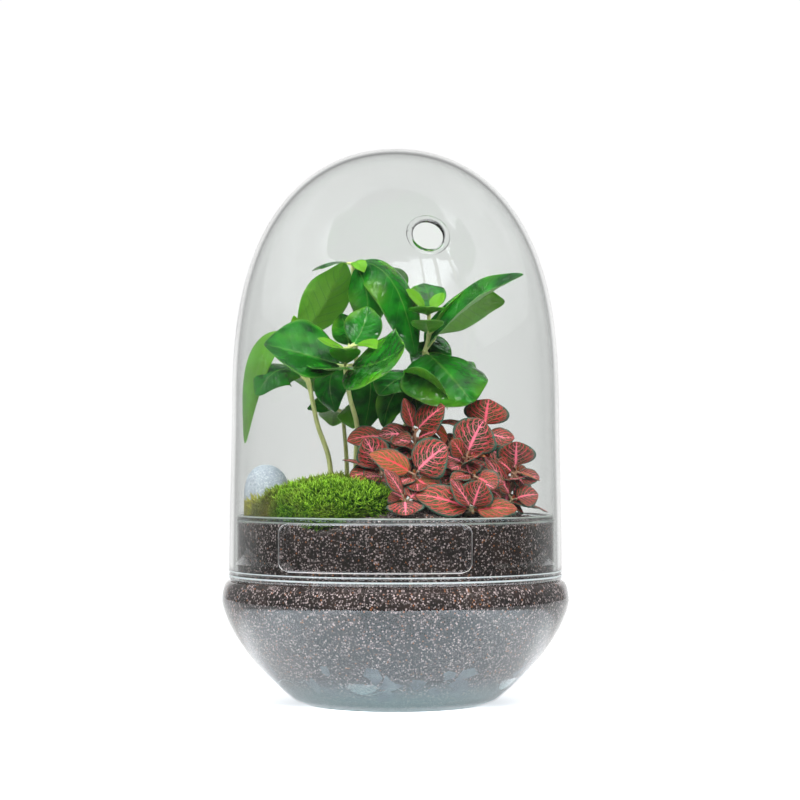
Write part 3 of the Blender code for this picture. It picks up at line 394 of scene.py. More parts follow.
class Graph:
    """Adds nodes to a tree and links them."""

    def __init__(self, tree):
        self.tree = tree

    def put(self, socket, value):
        """Links a socket to the input, or gives it a plain value."""
        if isinstance(value, bpy.types.NodeSocket):
            self.tree.links.new(value, socket)
        else:
            socket.default_value = value

    def fill(self, node, inputs):
        """Sets the node's inputs by name, each with a socket or a plain value."""
        for name, value in dict(inputs).items():
            self.put(next(s for s in node.inputs if s.name == name and s.enabled), value)

    def add(self, kind, inputs=(), **settings):
        """A new node with these settings and inputs."""
        node = self.tree.nodes.new(kind)
        for key, value in settings.items():
            setattr(node, key, value)
        self.fill(node, inputs)
        return node

    def out(self, kind, name, inputs=(), **settings):
        """One named output of a new node."""
        node = self.add(kind, inputs, **settings)
        return next(s for s in node.outputs if s.name == name and s.enabled)

    def math(self, operation, *values, clamp=False):
        """The result of one sum on plain values and sockets."""
        node = self.tree.nodes.new("ShaderNodeMath")
        node.operation = operation
        node.use_clamp = clamp
        for socket, value in zip(node.inputs, values):
            self.put(socket, value)
        return node.outputs[0]

    def times(self, first, second):
        return self.math("MULTIPLY", first, second)

    def plus(self, first, second):
        return self.math("ADD", first, second)

    def minus(self, first, second):
        return self.math("SUBTRACT", first, second)

    def larger(self, first, second):
        return self.math("MAXIMUM", first, second)

    def fade(self, value, low, high):
        """0 where the value is at low, 1 where it is at high, and smooth between them."""
        node = self.tree.nodes.new("ShaderNodeMapRange")
        node.interpolation_type = "SMOOTHSTEP"
        for socket, number in zip(node.inputs, (value, low, high, 0.0, 1.0)):
            self.put(socket, number)
        return node.outputs[0]

    def blend(self, factor, first, second):
        """A colour between two colours, each given as a socket or as red, green and blue."""
        node = self.tree.nodes.new("ShaderNodeMix")
        node.data_type = "RGBA"
        self.put(node.inputs[0], factor)
        for index, colour in ((6, first), (7, second)):
            plain = not isinstance(colour, bpy.types.NodeSocket)
            self.put(node.inputs[index], (*tuple(colour)[:3], 1.0) if plain else colour)
        return node.outputs[2]

    def noise(self, place, scale, detail=3.0, rough=0.55):
        """Noise of that many cells to a metre."""
        inputs = {"Vector": place, "Scale": scale, "Detail": detail, "Roughness": rough}
        return self.out("ShaderNodeTexNoise", "Fac", inputs)

    def random(self, low, high, seed, kind="FLOAT_VECTOR"):
        """A random vector or number for each point or copy."""
        inputs = {"Min": low, "Max": high, "Seed": seed}
        return self.out("FunctionNodeRandomValue", "Value", inputs, data_type=kind)

    def attribute(self, name):
        """A number that the mesh carries at each of its points."""
        return self.out("ShaderNodeAttribute", "Fac", attribute_name=name)

    def parts(self, vector):
        """A vector's X, Y and Z."""
        return self.add("ShaderNodeSeparateXYZ", {"Vector": vector}).outputs

    def vector(self, x, y, z):
        return self.out("ShaderNodeCombineXYZ", "Vector", {"X": x, "Y": y, "Z": z})

    def scaled(self, vector, factor):
        inputs = {"Vector": vector, "Scale": factor}
        return self.out("ShaderNodeVectorMath", "Vector", inputs, operation="SCALE")


def new_tree(name, inputs):
    """A geometry node tree with a geometry in, named inputs and a geometry out."""
    tree = bpy.data.node_groups.new(name, "GeometryNodeTree")
    tree.interface.new_socket("Geometry", in_out="INPUT", socket_type="NodeSocketGeometry")
    for label, kind, value in inputs:
        socket = tree.interface.new_socket(label, in_out="INPUT", socket_type=kind)
        if value is not None:
            socket.default_value = value
    tree.interface.new_socket("Geometry", in_out="OUTPUT", socket_type="NodeSocketGeometry")
    graph = Graph(tree)
    entry = tree.nodes.new("NodeGroupInput")
    return tree, graph, {s.name: s for s in entry.outputs if s.name}


def close_tree(graph, geometry, material):
    """Ends a tree in plain geometry with its material."""
    real = graph.out("GeometryNodeRealizeInstances", "Geometry", {"Geometry": geometry})
    painted = graph.out("GeometryNodeSetMaterial", "Geometry", {"Geometry": real, "Material": material})
    graph.add("NodeGroupOutput", {"Geometry": painted})


def take_result(obj, modifier):
    """Turns the result of the object's modifier into its plain mesh."""
    graph = bpy.context.evaluated_depsgraph_get()
    mesh = bpy.data.meshes.new_from_object(obj.evaluated_get(graph))
    obj.modifiers.remove(modifier)
    obj.data = mesh


def grown(obj, tree, values):
    """Puts what the tree makes of the object's mesh, with these input values, in its place."""
    modifier = obj.modifiers.new(tree.name, "NODES")
    modifier.node_group = tree
    keys = {item.name: item.identifier for item in tree.interface.items_tree if item.in_out == "INPUT"}
    for label, value in values.items():
        modifier[keys[label]] = value
    take_result(obj, modifier)


# Objects


def new_object(name, points, faces, material=None):
    """A smooth mesh object from points in millimetres."""
    mesh = bpy.data.meshes.new(name)
    mesh.from_pydata([Vector(p) * MM for p in points], [], faces)
    if material:
        mesh.materials.append(material)
    mesh.shade_smooth()
    obj = bpy.data.objects.new(name, mesh)
    bpy.context.scene.collection.objects.link(obj)
    return obj


def face_outwards(obj):
    """Turns the faces of closed shells outwards."""
    shell = bmesh.new()
    shell.from_mesh(obj.data)
    bmesh.ops.recalc_face_normals(shell, faces=shell.faces)
    shell.to_mesh(obj.data)
    shell.free()


def place(obj, slot, *nodes):
    """The piece rides on the terrarium and stands for its nodes, which it hides. The slot is not used."""
    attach(obj, "root")
    if nodes:
        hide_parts(*nodes)


def carry(obj, name, values):
    """Makes the object's points carry a number each."""
    obj.data.attributes.new(name, "FLOAT", "POINT").data.foreach_set("value", values)


def join(target, other):
    """Adds the other's mesh to the target's, keeping its materials and attributes."""
    with bpy.context.temp_override(active_object=target, selected_editable_objects=[target, other]):
        bpy.ops.object.join()


# Shapes


def turns(count):
    """Evenly spaced angles round a circle."""
    return [2 * math.pi * k / count for k in range(count)]


def polar(angle, reach, height):
    """A point that far from the glass's axis, in that direction."""
    return Vector((math.cos(angle) * reach, math.sin(angle) * reach, height))


def arc(centre, radii, start, end, steps):
    """Points along a stretched arc between two angles in degrees."""
    angles = [math.radians(start + (end - start) * i / steps) for i in range(steps + 1)]
    return [(centre[0] + radii[0] * math.cos(a), centre[1] + radii[1] * math.sin(a)) for a in angles]


def belly_radius(height, inset=0.0):
    """Radius of the bowl's outside at a height, less the inset."""
    fall = (BELLY_HEIGHT - height) / BELLY_FALL
    return BELLY_RADIUS * (1 - fall**BELLY_POWER) ** (1 / BELLY_POWER) - inset


def steps_between(low, high, count):
    """Numbers from low to high in equal steps."""
    return [low + (high - low) * i / count for i in range(count + 1)]


def floor_corner(wall, clearance=0.0):
    """The round between the bowl's inner wall and its floor."""
    width, height = FLOOR_CORNER
    centre = (belly_radius(FLOOR_HEIGHT, wall + 5), FLOOR_HEIGHT + height)
    return arc(centre, (width + clearance, height + clearance), -20, -85, 5)


def inner_wall(wall, neck_wall, clearance=0.0):
    """The bowl's inner surface from above the floor up to below the rim."""
    rings = steps_between(INSIDE_START, BELLY_HEIGHT - SHOULDER_GAP, 24)
    belly = [(belly_radius(height, wall + clearance), height) for height in rings]
    centre, width, height = SHOULDER_INSIDE
    shoulder = arc((centre, BELLY_HEIGHT), (width - clearance, height - clearance), 0, 90, 10)
    centre, height, radius = NECK_TURN
    turn = arc((centre, height), (radius + clearance, radius + clearance), -95, -175, 6)
    rings = steps_between(NECK_START, RIM_HEIGHT - neck_wall / 2, 6)
    neck = [(NECK_RADIUS - neck_wall - clearance, height) for height in rings]
    return belly + shoulder + turn + neck


def ridge_rises(ridges):
    """How far the glass stands out at each height that its fine ridges need."""
    rises = {}
    for low, crest, high, rise in ridges:
        rises.update({low: 0.0, crest: rise, high: 0.0})
    return rises


def painted_band_heights(ridges):
    """The heights between which each ridge carries a band of painted light."""
    return [(low, high) for low, _, high, _ in ridges]


def bowl_profile(wall, neck_wall):
    """The bowl's outline: up its outside from the middle of the foot, over the rim and down its inside."""
    punt = [(0, PUNT_RISE), (FOOT_INNER_RADIUS - 6, PUNT_RISE), (FOOT_INNER_RADIUS - 3, PUNT_RISE * 0.9)]
    ring = arc((FOOT_INNER_RADIUS + 1, FOOT_ROUND), (2 * FOOT_ROUND, FOOT_ROUND), 200, 270, 4)
    heel = arc((FOOT_OUTER_RADIUS - 1.5, HEEL_ROUND), (2 * HEEL_ROUND, HEEL_ROUND), 270, 325, 5)
    side = [(belly_radius(h), h) for h in steps_between(HEEL_HEIGHT, BELLY_HEIGHT - SHOULDER_GAP, 34)]
    reach = BELLY_RADIUS - SHOULDER_RADIUS
    shoulder = arc((SHOULDER_RADIUS, BELLY_HEIGHT), (reach, LEDGE_HEIGHT - BELLY_HEIGHT), 0, 90, 16)
    ledge_round = (NECK_RADIUS + LEDGE_ROUND, LEDGE_HEIGHT + LEDGE_ROUND)
    ledge = arc(ledge_round, (LEDGE_ROUND, LEDGE_ROUND), -90, -180, 5)
    neck = [(NECK_RADIUS, h) for h in steps_between(NECK_START, RIM_HEIGHT - 4, 5)]
    neck += [(NECK_RADIUS + rise, height) for height, rise in ridge_rises(RIM_RIDGES).items()]
    half = neck_wall / 2
    rim = arc((NECK_RADIUS - half, RIM_HEIGHT - half), (half, half), 0, 180, 12)
    inside = inner_wall(wall, neck_wall)[-2::-1]
    floor = [(30.0, FLOOR_HEIGHT - 0.3), (0, FLOOR_HEIGHT - FLOOR_DIP)]
    return punt + ring + heel + side + shoulder + ledge + neck + rim + inside + floor_corner(wall) + floor


def crown_point(turn):
    """The crown's radius and height at a turn from 0 degrees at its start to 90 at the top."""
    rise = math.sin(math.radians(turn))
    radius = CROWN_RADIUS * max(0.0, 1 - rise**CROWN_POWER) ** CROWN_ROOT
    return radius, CROWN_START + (DOME_TOP - CROWN_START) * rise


def inset_line(profile, distance):
    """The same outline, moved inwards by the thickness of the wall."""
    moved = []
    for i, (radius, height) in enumerate(profile):
        before, after = profile[max(i - 1, 0)], profile[min(i + 1, len(profile) - 1)]
        along = Vector((after[0] - before[0], after[1] - before[1])).normalized()
        moved.append((max(radius - along.y * distance, 0.0), height + along.x * distance))
    return moved


def dome_profile(wall):
    """The dome's outline: from the middle of its top down its inside, round the foot and up its outside."""
    foot = LEDGE_HEIGHT + DOME_REST
    half = wall / 2
    rises = ridge_rises(DOME_FOOT_RIDGES)
    straight = []
    for height in [foot + half, *rises, *steps_between(71.0, CROWN_START - 4, 14)]:
        share = (height - foot - half) / (CROWN_START - foot - half)
        radius = DOME_FOOT_RADIUS + (CROWN_RADIUS - DOME_FOOT_RADIUS) * share**DOME_TAPER
        straight.append((radius + rises.get(height, 0.0), height))
    outside = straight + [crown_point(turn) for turn in [*range(0, 84, 2), 84, 85.5, 87, 88]]
    inside = inset_line(outside, wall)[1:]
    bead = arc((DOME_FOOT_RADIUS - half, foot + half), (half, half), 0, -180, 12)
    return [(0, DOME_TOP - wall)] + inside[::-1] + bead[::-1] + outside[1:] + [(0, DOME_TOP)]


def vent_frame(wall):
    """The middle of the vent hole in the dome's wall, and the direction straight out through it."""
    turn = math.degrees(math.asin((VENT_HEIGHT - CROWN_START) / (DOME_TOP - CROWN_START)))
    low, high = crown_point(turn - 1), crown_point(turn + 1)
    along = Vector((high[0] - low[0], high[1] - low[1])).normalized()
    outward = Vector((math.sin(VENT_AZIMUTH), -math.cos(VENT_AZIMUTH), 0))
    axis = outward * along.y - UP * along.x
    middle = outward * crown_point(turn)[0] + UP * VENT_HEIGHT - axis * wall / 2
    return middle, axis


def soil_height(x, y):
    """Height of the mounded soil, as the stems and the moss find it."""
    away = (x * x + y * y) / (NECK_RADIUS * NECK_RADIUS)
    wave_x, wave_y = SOIL_WAVE_LENGTHS
    waves = SOIL_WAVE * math.sin(x / wave_x + 1) * math.sin(y / wave_y)
    return SOIL_EDGE + SOIL_MOUND * max(0.0, 1 - away) + waves


def soil_sag(x, y):
    """How far the front edge of the soil sinks where the moss creeps down the glass."""
    if y >= 0:
        return 0.0
    near = math.exp(-(((x - SAG_PLACE) / SAG_WIDTH) ** 2))
    return SAG_DEPTH * near * (math.hypot(x, y) / SAG_RADIUS) ** SAG_POWER


def gravel_height(angle, share):
    """Height of the stones' bed at that share of the way out from its middle."""
    waves = sum(height * math.sin(count * angle + phase) for height, count, phase in GRAVEL_WAVES)
    return GRAVEL_LEVEL + waves * (0.35 + 0.65 * share)


def ring_between(centre, across, other, radius, count):
    """A ring of points in the plane of two crossing directions."""
    return [centre + (across * math.cos(a) + other * math.sin(a)) * radius for a in turns(count)]


def ring_points(centre, axis, radius, count):
    """A ring of points round an axis."""
    across = axis.orthogonal().normalized()
    return ring_between(centre, across, axis.cross(across), radius, count)


def band_faces(low, high, count):
    """Faces between two rings of points, each given by the number of its first point."""
    pairs = [(k, (k + 1) % count) for k in range(count)]
    return [(low + k, low + n, high + n, high + k) for k, n in pairs]


def plate_faces(rows, columns):
    """Faces of a thin closed plate between two grids of points, one after the other."""
    wide = columns + 1
    total = wide * (rows + 1)
    faces = []
    for i in range(rows):
        for j in range(columns):
            a, b = i * wide + j, (i + 1) * wide + j
            faces.append((a, a + 1, b + 1, b))
            faces.append((total + a, total + b, total + b + 1, total + a + 1))
        for j in (0, columns):
            a, b = i * wide + j, (i + 1) * wide + j
            faces.append((a, b, total + b, total + a))
    for i in (0, rows):
        for j in range(columns):
            a = i * wide + j
            faces.append((a, a + 1, total + a + 1, total + a))
    return faces


def lathe(rows):
    """Points and faces of a closed body from rings of points, with one point at each end."""
    sectors = len(rows[1])
    points = [rows[0][0]]
    for row in rows[1:-1]:
        points += row
    points.append(rows[-1][0])
    last, rings = len(points) - 1, len(rows) - 2
    faces = []
    for k in range(sectors):
        n = (k + 1) % sectors
        faces.append((0, 1 + n, 1 + k))
        for j in range(rings - 1):
            low, high = 1 + j * sectors, 1 + (j + 1) * sectors
            faces.append((low + k, low + n, high + n, high + k))
        top = 1 + (rings - 1) * sectors
        faces.append((last, top + k, top + n))
    return points, faces


def turned_tree():
    """Turns a profile, given as a line of points in the XZ plane, round the Z axis."""
    inputs = [("Sectors", "NodeSocketInt", 160), ("Material", "NodeSocketMaterial", None)]
    tree, graph, given = new_tree("Turned Body", inputs)
    count = graph.out("GeometryNodeAttributeDomainSize", "Point Count", {"Geometry": given["Geometry"]})
    grid = graph.add("GeometryNodeMeshGrid", {
        "Size X": 1.0, "Size Y": 1.0, "Vertices X": count, "Vertices Y": graph.plus(given["Sectors"], 1.0),
    })
    place_now = graph.out("GeometryNodeInputPosition", "Position")
    parts = graph.parts(place_now)
    row = graph.times(graph.plus(parts["X"], 0.5), graph.minus(count, 1.0))
    picked = graph.out("GeometryNodeSampleIndex", "Value", {
        "Geometry": given["Geometry"], "Value": place_now, "Index": graph.math("ROUND", row),
    }, data_type="FLOAT_VECTOR", domain="POINT")
    profile = graph.parts(picked)
    angle = graph.times(graph.plus(parts["Y"], 0.5), 2 * math.pi)
    x = graph.times(profile["X"], graph.math("COSINE", angle))
    y = graph.times(profile["X"], graph.math("SINE", angle))
    moved = graph.out("GeometryNodeSetPosition", "Geometry", {
        "Geometry": grid.outputs["Mesh"], "Position": graph.vector(x, y, profile["Z"]),
    })
    closed = graph.out("GeometryNodeMergeByDistance", "Geometry", {"Geometry": moved, "Distance": 1e-6})
    smooth = graph.out("GeometryNodeSetShadeSmooth", "Geometry", {"Geometry": closed})
    close_tree(graph, smooth, given["Material"])
    return tree


def turned(name, profile, sectors, material):
    """A closed glass body of revolution made by the turning tree."""
    mesh = bpy.data.meshes.new(name)
    points = [Vector((radius, 0, height)) * MM for radius, height in profile]
    mesh.from_pydata(points, [(i, i + 1) for i in range(len(points) - 1)], [])
    obj = bpy.data.objects.new(name, mesh)
    bpy.context.scene.collection.objects.link(obj)
    tree = bpy.data.node_groups.get("Turned Body") or turned_tree()
    grown(obj, tree, {"Sectors": sectors, "Material": material})
    face_outwards(obj)
    return obj


def mark_painted_bands(obj, material, bands, radius):
    """Gives the outer faces between some heights the finish of a painted band of light or shade."""
    obj.data.materials.append(material)
    for face in obj.data.polygons:
        middle = face.center / MM
        if math.hypot(middle.x, middle.y) > radius and any(low < middle.z < high for low, high in bands):
            face.material_index = len(obj.data.materials) - 1


def apply_boolean(obj, operation, other):
    """Cuts the other object from this one, or joins it on, and removes the other."""
    boolean = obj.modifiers.new("Boolean", "BOOLEAN")
    boolean.operation = operation
    boolean.solver = "EXACT"
    boolean.object = other
    take_result(obj, boolean)
    bpy.data.objects.remove(other)


# Finishes. Colours that are settings come in as arguments, and places are in metres.


def toned(colour, share):
    """The colour at a share of its strength."""
    return [part * share for part in colour]


def principled(name):
    """A new material with its graph and shader."""
    made = bpy.data.materials.new(name)
    made.use_nodes = True
    return made, Graph(made.node_tree), made.node_tree.nodes["Principled BSDF"]


def object_place(graph):
    """Where on the terrarium a point lies."""
    return graph.out("ShaderNodeTexCoord", "Object")


def bump(graph, shader, height, strength, distance):
    """Makes the surface seem raised where the height is greater."""
    inputs = {"Height": height, "Strength": strength, "Distance": distance}
    graph.put(shader.inputs["Normal"], graph.out("ShaderNodeBump", "Normal", inputs))


def clear_glass(name, tint, foot_tint, foot_top, index, mirror=(1.0, 1.0, 1.0)):
    """Clear glass, deeper in colour towards its foot, with the faint waves of blown glass."""
    made, graph, shader = principled(name)
    where = object_place(graph)
    low = graph.fade(graph.parts(where)["Z"], foot_top, 0.0)
    graph.fill(shader, {
        "Base Color": graph.blend(low, tint, foot_tint), "Roughness": 0.0, "IOR": index,
        "Specular Tint": (*mirror, 1.0), "Transmission Weight": 1.0,
    })
    bump(graph, shader, graph.noise(where, 14.0, 1.0), 0.05, 0.002)
    return made


def painted_edge_band_finish(name, colour):
    """A half-clear band on a glass edge whose colour is painted light: pale for a painted highlight line,
    dark for a painted shade line.
    """
    made, graph, shader = principled(name)
    graph.fill(shader, {"Base Color": (*colour, 1.0), "Roughness": 0.3, "Transmission Weight": 0.5})
    return made


def film_finish(colour):
    """Clear film that is a little frosted at its cut edge."""
    made, graph, shader = principled("label_film")
    edge = graph.fade(graph.attribute("edge"), 0.55, 0.8)
    graph.fill(shader, {
        "Base Color": (*colour, 1.0), "Roughness": graph.times(edge, 0.4), "IOR": 1.4,
        "Transmission Weight": 1.0,
    })
    return made


def soil_finish(name, dark, brown, fleck, painted_veil_colour):
    """Damp potting soil: dark crumbs with pale grains between them, and a painted pale veil low in the bowl
    that stands in for the bright floor seen through the glass foot.
    """
    made, graph, shader = principled(name)
    where = object_place(graph)
    crumbs = graph.noise(where, 420.0, 4.0, 0.7)
    patches = graph.noise(where, 60.0, 2.0)
    # Darker where the crumb noise is low, which the bump sinks: partly the damp soil's own dark colour,
    # partly painted shade in the gaps between crumbs
    base = graph.blend(graph.fade(crumbs, 0.35, 0.68), dark, brown)
    base = graph.blend(graph.fade(patches, 0.35, 0.75), base, toned(brown, 1.7))
    ragged = graph.add("ShaderNodeTexNoise", {"Vector": where, "Scale": 1500.0, "Detail": 2.0})
    shift = graph.scaled(ragged.outputs["Color"], GRAIN_RAGGEDNESS)
    where = graph.out("ShaderNodeMapping", "Vector", {"Vector": where, "Location": shift})
    small = graph.add("ShaderNodeTexVoronoi", {"Vector": where, "Scale": 1100.0, "Randomness": 1.0})
    pick = graph.add("ShaderNodeSeparateColor", {"Color": small.outputs["Color"]}).outputs
    chosen = graph.fade(pick["Red"], 1.0 - GRAIN_SHARE, 1.04 - GRAIN_SHARE)
    grain = graph.times(graph.fade(small.outputs["Distance"], 0.55, 0.42), chosen)
    large = graph.add("ShaderNodeTexVoronoi", {"Vector": where, "Scale": 760.0, "Randomness": 1.0})
    few = graph.add("ShaderNodeSeparateColor", {"Color": large.outputs["Color"]}).outputs
    chosen = graph.fade(few["Red"], 1.0 - LARGE_GRAIN_SHARE, 1.04 - LARGE_GRAIN_SHARE)
    grain = graph.larger(grain, graph.times(graph.fade(large.outputs["Distance"], 0.42, 0.28), chosen))
    tone = graph.blend(graph.math("POWER", pick["Green"], 1.8), toned(fleck, 0.06), fleck)
    tone = graph.blend(graph.fade(pick["Blue"], 0.93, 0.96), tone, RUSTY_GRAIN)
    # Painted veil: below about 21 mm the soil is blended towards a pale blue-green that stands in for light
    # from the floor seen through the glass
    painted_veil = graph.times(graph.fade(graph.parts(where)["Z"], *VEIL_HEIGHTS), VEIL_SHARE)
    graph.fill(shader, {
        "Base Color": graph.blend(painted_veil, graph.blend(grain, base, tone), painted_veil_colour), "Roughness": 0.85,
    })
    bump(graph, shader, graph.plus(crumbs, grain), 0.6, 0.0006)
    return made


def stone_finish(name, dark, light, scale, speck):
    """Stone with broad darker patches, pale specks and fine pits that are darker, partly with painted shade.
    """
    made, graph, shader = principled(name)
    where = object_place(graph)
    broad = graph.noise(where, scale * 0.12, 3.0)
    fine = graph.noise(where, scale, 5.0, 0.75)
    base = graph.blend(graph.fade(broad, 0.3, 0.7), dark, light)
    base = graph.blend(graph.times(graph.fade(fine, 0.5, 0.7), 0.7), base, speck)
    # Darker where the fine noise is low, which the bump sinks into pits: partly the stone's own dark grains,
    # partly painted shade in the pits
    base = graph.blend(graph.times(graph.fade(fine, 0.46, 0.34), 0.6), base, toned(dark, 0.5))
    graph.fill(shader, {"Base Color": base, "Roughness": 0.75})
    bump(graph, shader, fine, 0.35, 0.0006)
    return made


def moss_finish(name, root, middle, tip, old):
    """Moss: each shoot is near black at its root, partly its old stem's colour and partly painted shade deep
    in the cushion, and light at its tip, and old patches, the back and the left are browner."""
    made, graph, shader = principled(name)
    along = graph.attribute("along")
    where = object_place(graph)
    # Near black at the root: partly the darker old stems, partly painted shade deep in the cushion
    green = graph.blend(graph.fade(along, 0.0, 0.55), root, middle)
    green = graph.blend(graph.fade(along, 0.55, 0.95), green, tip)
    green = graph.blend(graph.times(graph.attribute("shade"), 0.7), green, toned(middle, 0.35))
    patches = graph.fade(graph.noise(where, 55.0, 2.0), 0.5, 0.68)
    parts = graph.parts(where)
    back = graph.fade(parts["Y"], *OLD_MOSS_BACK)
    left = graph.times(graph.fade(parts["X"], *OLD_MOSS_LEFT), 0.75)
    worn = graph.math("ADD", graph.times(patches, 0.35), graph.larger(back, left), clamp=True)
    graph.fill(shader, {
        "Base Color": graph.blend(graph.times(worn, 0.85), green, old), "Roughness": 0.6,
        "Specular IOR Level": 0.15,
    })
    return made


def leaf_place(graph):
    """How far along a leaf, and how far out from its rib, a point lies, both from 0 to 1."""
    parts = graph.parts(graph.out("ShaderNodeUVMap", "UV", uv_map="leaf"))
    return parts["X"], graph.math("ABSOLUTE", graph.minus(graph.times(parts["Y"], 2.0), 1.0))


def vein_distance(graph, cell):
    """0 on a side vein and 0.5 midway between two, where the cell counts the veins."""
    return graph.math("ABSOLUTE", graph.minus(graph.math("FRACT", graph.plus(cell, 0.5)), 0.5))


def coffee_finish(dark, fresh, lime, margin):
    """A glossy coffee leaf with a pale rib and side veins, lighter and duller underneath."""
    made, graph, shader = principled("coffee_leaf_skin")
    under = graph.attribute("under")
    along, out = leaf_place(graph)
    where = object_place(graph)
    patches = graph.noise(where, 90.0, 3.0)
    top = graph.blend(graph.fade(patches, 0.3, 0.7), dark, fresh)
    # Painted light: lighter lime patches towards the margins stand in for light shining through the leaf
    light = graph.times(graph.fade(graph.noise(where, 38.0, 1.0), 0.5, 0.7), graph.fade(out, 0.2, 0.9))
    top = graph.blend(graph.times(light, 0.6), top, lime)
    skin = graph.blend(under, top, graph.blend(patches, *COFFEE_UNDERSIDE))
    skin = graph.blend(graph.attribute("age"), skin, graph.blend(under, lime, toned(lime, 1.05)))
    cell = graph.minus(graph.times(along, COFFEE_VEINS), graph.times(out, COFFEE_VEIN_LEAN))
    vein = graph.times(graph.fade(vein_distance(graph, cell), 0.07, 0.01), graph.fade(out, 1.0, 0.55))
    skin = graph.blend(graph.times(vein, 0.14), skin, graph.blend(0.5, skin, margin))
    skin = graph.blend(graph.times(vein, graph.times(under, 0.6)), skin, COFFEE_VEIN_BELOW)
    skin = graph.blend(graph.times(graph.fade(out, 0.045, 0.015), 0.34), skin, margin)
    skin = graph.blend(graph.times(graph.fade(out, 0.90, 0.99), 0.4), skin, margin)
    dull = graph.plus(graph.times(under, 0.3), graph.times(patches, 0.06))
    graph.fill(shader, {
        "Base Color": skin, "Roughness": graph.plus(dull, COFFEE_GLOSS), "Specular IOR Level": 0.62,
        "Subsurface Weight": 0.2, "Subsurface Radius": (0.4, 1.0, 0.15), "Subsurface Scale": 0.0015,
    })
    swell = graph.times(graph.noise(where, 160.0, 2.0), 4.0)
    bump(graph, shader, graph.minus(swell, graph.times(vein, 0.5)), 0.5, 0.0005)
    return made


def nerve_finish(ground, rim, red, pink, young):
    """A nerve plant's leaf: a branching net of red veins on dark green, with a plain green margin."""
    made, graph, shader = principled("nerve_leaf_skin")
    tone = graph.attribute("age")
    under = graph.attribute("under")
    along, out = leaf_place(graph)
    where = object_place(graph)
    wobble = graph.times(graph.minus(graph.noise(where, 240.0, 2.0), 0.5), 0.16)
    wavy = graph.plus(along, wobble)
    bent = graph.math("POWER", out, 1.2)
    cell = graph.minus(graph.times(wavy, NERVE_VEINS), graph.times(bent, NERVE_VEIN_LEAN))
    fork = graph.times(graph.larger(graph.minus(out, 0.38), 0.0), 0.42)
    branch = graph.math("ABSOLUTE", graph.minus(vein_distance(graph, cell), fork))
    width = graph.minus(0.10, graph.times(out, 0.045))
    side = graph.fade(branch, width, graph.times(width, 0.35))
    net_place = graph.vector(cell, graph.times(out, 3.2), graph.times(under, 7.0))
    net = graph.add("ShaderNodeTexVoronoi", {"Vector": net_place, "Scale": 1.7}, feature="DISTANCE_TO_EDGE")
    mesh_lines = graph.times(graph.fade(net.outputs["Distance"], 0.07, 0.02), 0.55)
    rib = graph.fade(out, graph.minus(0.13, graph.times(along, 0.09)), 0.03)
    lines = graph.larger(graph.larger(side, mesh_lines), rib)
    lines = graph.times(lines, graph.fade(out, 0.95, 0.82))
    field = graph.blend(graph.fade(graph.noise(where, 180.0, 2.0), 0.3, 0.7), ground, toned(ground, 1.7))
    field = graph.blend(graph.fade(tone, 0.35, 0.95), field, young)
    field = graph.blend(graph.fade(out, 0.74, 0.9), field, rim)
    colour = graph.blend(graph.fade(graph.plus(out, tone), 0.1, 0.95), pink, red)
    skin = graph.blend(lines, field, colour)
    # Painted shade: the undersides take a dark brown so that the gaps between leaves look shaded
    skin = graph.blend(graph.times(under, 0.85), skin, NERVE_SHADED_UNDERSIDE)
    graph.fill(shader, {"Base Color": skin, "Roughness": 0.38, "Specular IOR Level": 0.18})
    fine = graph.noise(where, 900.0, 2.0)
    bump(graph, shader, graph.minus(fine, graph.times(lines, 1.2)), 0.3, 0.0005)
    return made


def stem_finish(name, low, high, blush, low_height, high_height):
    """A stem that goes from one colour near the soil to another higher up, with fine streaks."""
    made, graph, shader = principled(name)
    where = object_place(graph)
    base = graph.blend(graph.fade(graph.parts(where)["Z"], low_height, high_height), low, high)
    stretched = graph.out("ShaderNodeMapping", "Vector", {"Vector": where, "Scale": (1.0, 1.0, 0.12)})
    streaks = graph.noise(stretched, 1400.0, 2.0)
    base = graph.blend(graph.times(graph.fade(streaks, 0.48, 0.66), 0.5), base, blush)
    graph.fill(shader, {"Base Color": base, "Roughness": 0.5})
    bump(graph, shader, streaks, 0.2, 0.0004)
    return made


# Foliage


def catmull(points, steps):
    """A smooth curve through the points, with that many steps between two of them."""
    ends = [points[0] * 2 - points[1]] + points + [points[-1] * 2 - points[-2]]
    curve = []
    for i in range(1, len(ends) - 2):
        a, b, c, d = ends[i - 1 : i + 3]
        for k in range(steps):
            t = k / steps
            bent = (a * 2 - b * 5 + c * 4 - d) * t * t + (b * 3 - a - c * 3 + d) * t**3
            curve.append((b * 2 + (c - a) * t + bent) / 2)
    return curve + [points[-1]]


def bezier(base, control, tip, t):
    """A point on a simple bend from base to tip."""
    return base * (1 - t) ** 2 + control * 2 * t * (1 - t) + tip * t * t


def coffee_outline(share):
    """An oval that narrows into a drawn-out tip."""
    oval = math.sin(math.pi * min(share, 1.0) ** 0.96) ** 0.54 if 0 < share < 1 else 0.0
    end = max(0.0, (share - 0.74) / 0.26)
    return oval * (1 - 0.22 * end * end * (3 - 2 * end))


def nerve_outline(share):
    """A broad oval, widest before its middle, with a short point."""
    return (share / 0.42) ** 0.52 * (max(0.0, 1 - share) / 0.58) ** 0.72


